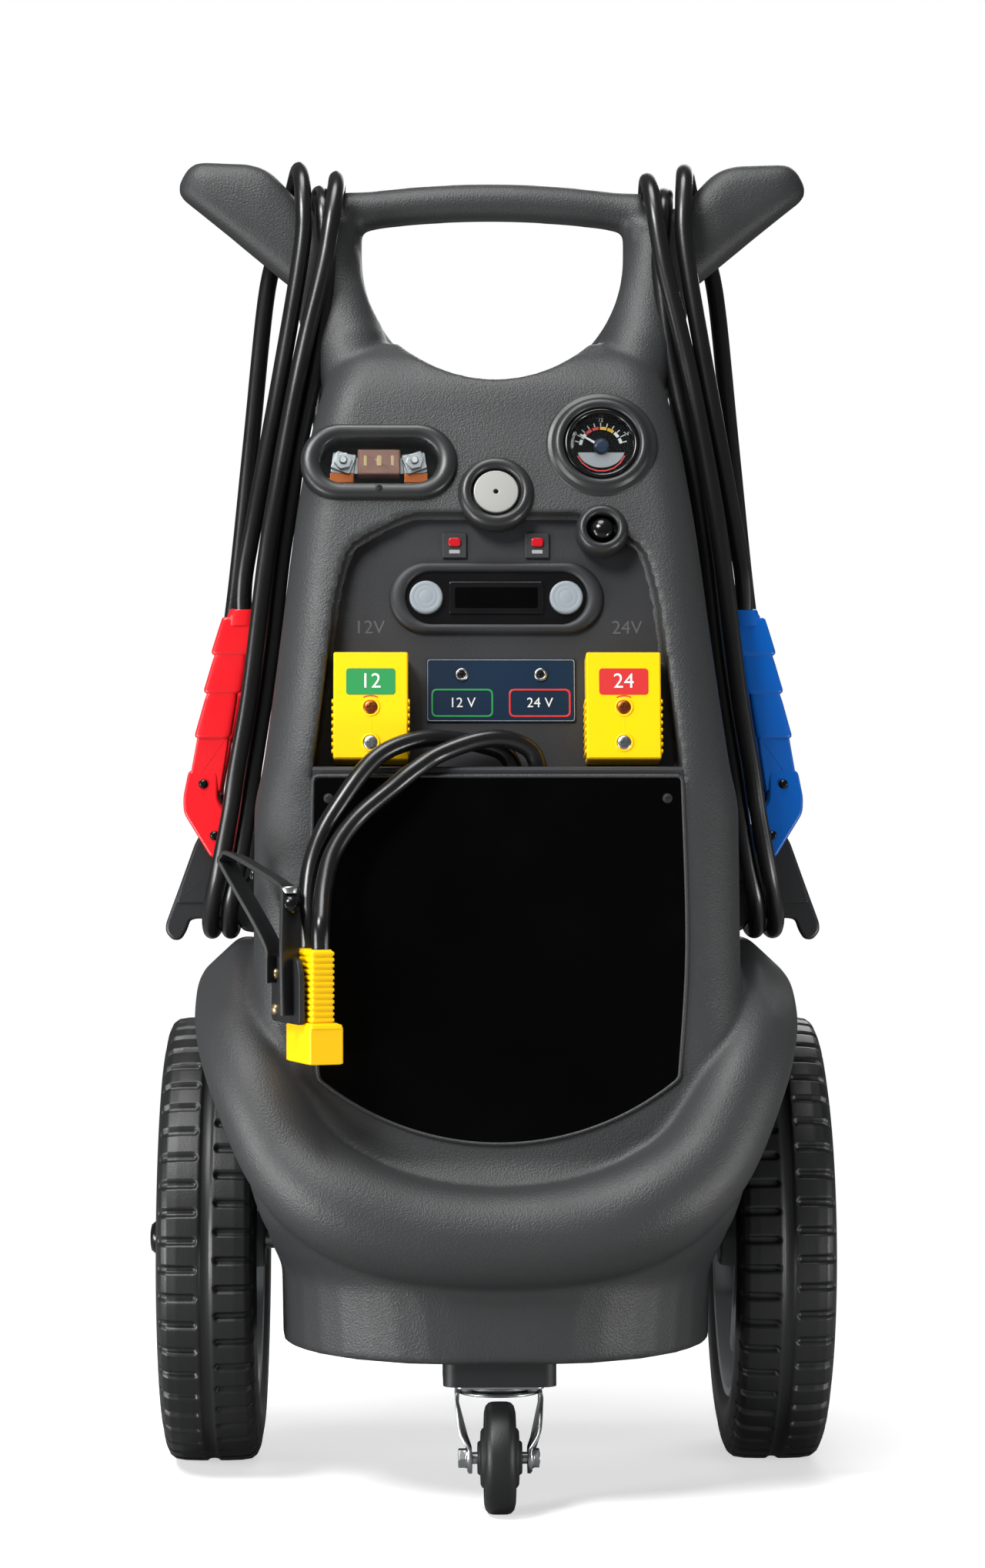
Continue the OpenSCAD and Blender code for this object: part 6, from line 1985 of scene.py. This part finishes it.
@dataclass
class Studio:
    """Camera, lamps, world and floor."""

    distance: float = 2.7
    height: float = 0.490
    turn_deg: float = -1.3
    focal_px: float = 4810.0
    frame_px: float = 2038.0
    sensor: float = 36.0
    # Each lamp's place and width in metres, and its power in watts.
    panels: Sequence = (
        ("key", (-1.15, -1.6, 2.35), 0.95, 66.0), ("left", (-2.3, -1.1, 0.25), 1.3, 36.0),
        ("right", (2.5, -0.4, 0.1), 1.2, 9.0), ("top", (-0.2, -0.5, 2.9), 1.3, 38.0),
        ("low_left", (-0.85, -0.6, 0.1), 0.35, 7.0), ("low_right", (0.85, -0.6, 0.1), 0.35, 5.0),
        ("back", (0.6, 2.4, 1.8), 1.6, 24.0),
    )
    aim: tuple[float, float, float] = (0.0, 0.0, 0.5)
    floor_half: float = 30000.0

    def build(self) -> None:
        """Make everything that isn't part of the object."""
        self.camera()
        self.lamps()
        self.world()
        self.floor()

    def camera(self) -> None:
        """Stand a level camera in front of the axle, turned a little to the left of it."""
        data = bpy.data.cameras.new("camera")
        data.sensor_fit = "AUTO"
        data.sensor_width = self.sensor
        data.sensor_height = self.sensor
        data.lens = self.focal_px / self.frame_px * self.sensor
        obj = link("camera", data)
        a = math.radians(self.turn_deg)
        obj.location = (self.distance * math.sin(a), AXLE_Y / 1000.0 - self.distance * math.cos(a), self.height)
        obj.rotation_euler = (math.pi / 2, 0.0, a)
        bpy.context.scene.camera = obj

    def lamps(self) -> None:
        """Light it with soft panels: key at upper left, two at each side, one overhead and one behind."""
        for name, at, size, power in self.panels:
            data = bpy.data.lights.new(name, "AREA")
            data.shape = "DISK"
            data.size = size
            data.energy = power
            obj = link(name, data)
            obj.location = at
            x, y, z = np.array(self.aim) - np.array(at)
            obj.rotation_euler = (math.pi / 2 + math.atan2(z, math.hypot(x, y)), 0.0, math.atan2(y, x) - math.pi / 2)

    def world(self) -> None:
        """White for what camera and transmission rays see, a soft grey level for the rest."""
        world = bpy.data.worlds.new("studio")
        world.use_nodes = True
        tree = world.node_tree
        tree.nodes.clear()
        rays = add_node(tree, "ShaderNodeLightPath")
        sight = {0: rays.outputs["Is Camera Ray"], 1: rays.outputs["Is Transmission Ray"]}
        seen = add_node(tree, "ShaderNodeMath", sight, operation="MAXIMUM")
        level = add_node(tree, "ShaderNodeMapRange", {"Value": seen.outputs[0], "To Min": 0.12, "To Max": 1.0})
        back = add_node(tree, "ShaderNodeBackground", {"Color": (1.0, 1.0, 1.0, 1.0), "Strength": level.outputs[0]})
        add_node(tree, "ShaderNodeOutputWorld", {"Surface": back.outputs[0]})
        bpy.context.scene.world = world

    def floor(self) -> None:
        """Lay a pale matt floor that keeps the cart's shadow."""
        corners = self.floor_half * np.array([[-1.0, -1.0, 0.0], [1.0, -1.0, 0.0], [1.0, 1.0, 0.0], [-1.0, 1.0, 0.0]])
        obj = new_object("floor", corners, [[0, 1, 2, 3]], smooth=False)
        material = bpy.data.materials.new("paper_floor_white")
        material.use_nodes = True
        tree = material.node_tree
        tree.nodes.clear()
        ray = add_node(tree, "ShaderNodeLightPath").outputs["Is Camera Ray"]
        glow_level = add_node(tree, "ShaderNodeMath", {0: ray, 1: 0.55}, operation="MULTIPLY")
        tone = add_node(tree, "ShaderNodeMapRange", {"Value": ray, "To Min": 0.3, "To Max": 0.8})
        matt = add_node(tree, "ShaderNodeBsdfDiffuse", {"Color": tone.outputs[0]})
        glow = add_node(tree, "ShaderNodeEmission", {"Color": (1.0, 1.0, 1.0, 1.0), "Strength": glow_level.outputs[0]})
        both = add_node(tree, "ShaderNodeAddShader", {0: matt.outputs[0], 1: glow.outputs[0]})
        where = add_node(tree, "ShaderNodeTexCoord").outputs["Object"]
        reach = add_node(tree, "ShaderNodeVectorMath", {0: where}, operation="LENGTH")
        band = {"Value": reach.outputs["Value"], "From Min": 0.35, "From Max": 1.1}
        fade = add_node(tree, "ShaderNodeMapRange", band, interpolation_type="SMOOTHSTEP")
        share = add_node(tree, "ShaderNodeMath", {0: ray, 1: fade.outputs[0]}, operation="MULTIPLY")
        white = add_node(tree, "ShaderNodeEmission", {"Color": (1.0, 1.0, 1.0, 1.0), "Strength": 1.0})
        mixed = add_node(tree, "ShaderNodeMixShader", {0: share.outputs[0], 1: both.outputs[0], 2: white.outputs[0]})
        add_node(tree, "ShaderNodeOutputMaterial", {"Surface": mixed.outputs[0]})
        obj.data.materials.append(material)


# ---------------------------------------------------------------- cables


@dataclass
class Cables:
    """The two wound battery cables and the plug's two leads, as smooth round tubes."""

    diameter: float = 12.5
    sides: int = 20

    def build(self) -> None:
        """Make the four cords."""
        route = np.array(BATTERY_ROUTE, dtype=float)
        for name, side, clamp in (("red_cable", -1.0, "red_clamp"), ("blue_cable", 1.0, "blue_clamp")):
            self.cord(name, route * [side, 1.0, 1.0], clamp)
        self.cord("plug_cable_pos", np.array(PLUG_ROUTE_POS, dtype=float), "plug")
        self.cord("plug_cable_neg", np.array(PLUG_ROUTE_NEG, dtype=float), "plug")

    def cord(self, name: str, route: Array, goes_to: str) -> None:
        """Sweep one cord along its route.

        Args:
            name: The CAD node that it stands for.
            route: The chosen points in millimetres.
            goes_to: Which set of pieces is on its end.
        """
        path = evenly(curve_through(route, 12), 4.0)
        radii = np.full(len(path), self.diameter / 2)
        across = np.array([0.0, 1.0, 0.0]) if goes_to == "plug" else np.array([1.0, 0.0, 0.0])
        obj = skin(name + "_jacket", tube_rings(path, radii, self.sides, across))
        settle(obj, Finishes.CABLE, replaces=[name])


# Routes repeated from the part's source, in millimetres about the axle.
BATTERY_ROUTE = [
    (112, 109.93, 345), (112, 122.53, 345), (112.5, 146, 350), (113.5, 158, 372), (115, 156, 410),
    (119, 140, 500), (124, 106, 640), (127, 76, 770), (128, 50, 860), (128, 34, 891), (127.5, 27, 909.5),
    (126, 2, 920), (123.5, -23.5, 909.5), (122, -30, 889), (120, -34, 862), (125, -42, 810), (132, -48, 769),
    (141.5, -55, 720), (149, -58, 670), (153, -58, 640), (160, -58, 578), (172, -56, 500), (176.5, -54, 468),
    (183, -50, 430), (188, -46, 408), (190, -37, 394), (190, -26, 385.6), (190, -4, 384), (190, 18, 387),
    (190, 31, 400), (189, 38, 420), (187, 38, 450), (180, 37, 500), (168, 36, 578), (157, 36, 644),
    (148, 36, 700), (140, 36, 760), (128, 35, 820), (117, 34, 862), (114, 32, 890), (113.5, 24, 914),
    (113, -2, 929.5), (113.5, -26, 921), (116, -40, 900), (120, -46, 872), (124.5, -49, 850), (134, -54, 810),
    (143.5, -61, 763), (155.5, -69, 694), (163, -70, 644), (174, -69, 555), (183.5, -66, 500),
    (188.5, -62, 468), (196, -57, 430), (201, -48, 408), (203.3, -38, 394), (203.3, -26, 385.6),
    (203.3, -4, 384), (203.3, 18, 387), (203.3, 31, 400), (203.6, 39, 420), (205, 40, 450), (203, 42, 500),
    (198, 42, 560), (188, 42, 640), (177, 38, 745), (166, 35, 850), (156, 34, 890), (150, 30, 910),
    (145, 22, 928), (141, 1, 937), (138.5, -21, 928), (137, -33, 907), (137, -38, 884), (142, -43, 846),
    (153, -50, 780), (161, -53, 735), (171, -53, 680), (177.5, -51, 645), (179.4, -48.8, 627),
    (179.5, -47.5, 614.4),
]
PLUG_ROUTE_POS = [
    (28, -147.6, 490.5), (28, -147.6, 502), (22, -149, 514), (5, -154, 521), (-15, -159, 519.5),
    (-40, -166, 510.5), (-55, -174, 501), (-69, -180, 490), (-96, -188, 467), (-112, -200, 444),
    (-118, -216, 420), (-119.3, -232, 400), (-119.6, -236.2, 393), (-119.6, -236.2, 380.3),
]
PLUG_ROUTE_NEG = [
    (11, -141.3, 490.5), (11, -141.3, 502), (4, -141, 512), (-12, -143.5, 517.5), (-30, -149, 520.5),
    (-47, -155, 521.5), (-64, -162, 518), (-80, -170, 510.5), (-92, -177.5, 499), (-105, -184, 481),
    (-119, -190, 458), (-127, -196, 435), (-129.5, -206, 412), (-128.5, -211.7, 396), (-128.4, -211.8, 380.3),
]


# ---------------------------------------------------------------- whole cart


NODES_BY_FINISH = {
    Finishes.SHELL: "front_shell rear_shell handle_front handle_rear",
    Finishes.PANEL: "control_panel",
    Finishes.DARK: "rear_cover fuse_block cable_glands contactor caster_spacer caster_core plug_handle",
    Finishes.POWDER: "base_plate hook_brackets clamp_pins",
    Finishes.PRINT_BLACK: "label_plate",
    Finishes.GLOSS_BLACK: "meter_case meter_dial test_button selector_fascia axle_caps",
    Finishes.ZINC: "case_screws fuse_studs detection_lamps socket_contacts battery_terminals axle caster_plate"
                   " caster_fork caster_bolt plug_contacts",
    Finishes.SATIN_SILVER: "alarm_disc button_12v button_24v",
    Finishes.COPPER: "fuse_busbars",
    Finishes.BRASS: "plug_screws",
    Finishes.FUSE: "fuse_link",
    Finishes.CLEAR: "fuse_window meter_lens",
    Finishes.LAMP_RED: "indicator_lamps",
    Finishes.PRINT_BLUE: "detection_label",
    Finishes.NEEDLE: "meter_needle",
    Finishes.YELLOW: "socket_12v socket_24v plug_housing",
    Finishes.RED: "red_clamp_body red_clamp_arm",
    Finishes.BLUE: "blue_clamp_body blue_clamp_arm",
    Finishes.CABLE: "red_cable blue_cable plug_cable_pos plug_cable_neg",
    Finishes.TYRE: "tyre_left tyre_right caster_tyre",
    Finishes.RIM: "rim_left rim_right",
    Finishes.BATTERY: "batteries",
    Finishes.BOARD: "charger_board",
}


def main() -> None:
    """Build every class in order."""
    logging.basicConfig(level=logging.INFO, format="%(message)s")
    bpy.context.scene.view_settings.view_transform = "Standard"
    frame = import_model()
    wheels = [part for side in SIDES for part in (Tyre(side), Rim(side))]
    makers = [Studio(), Clamp("red", -1.0, Finishes.RED), Clamp("blue", 1.0, Finishes.BLUE), Plug(), Cables(),
              BodyShells(), Bosses(), Panel(), Meter(), AlarmAndTest(), FuseBay(), LabelPlate(), Screws(), Hooks(),
              Connector("socket_12v", -87.3, "12", Finishes.GREEN_INK),
              Connector("socket_24v", 87.3, "24", Finishes.RED_INK), *wheels, Axle(), Caster()]
    for maker in makers:
        before = set(bpy.data.objects)
        maker.build()
        for piece in sorted(set(bpy.data.objects) - before, key=lambda made: made.name):
            if piece.type == "MESH":
                LOG.info("%s: %s, %d faces", type(maker).__name__, piece.name, len(piece.data.polygons))
    finish_of = {name: finish for finish, names in NODES_BY_FINISH.items() for name in names.split()}
    for name, node in frame["nodes"].items():
        dress(node, finish_of[name])


if __name__ == "__main__":
    main()
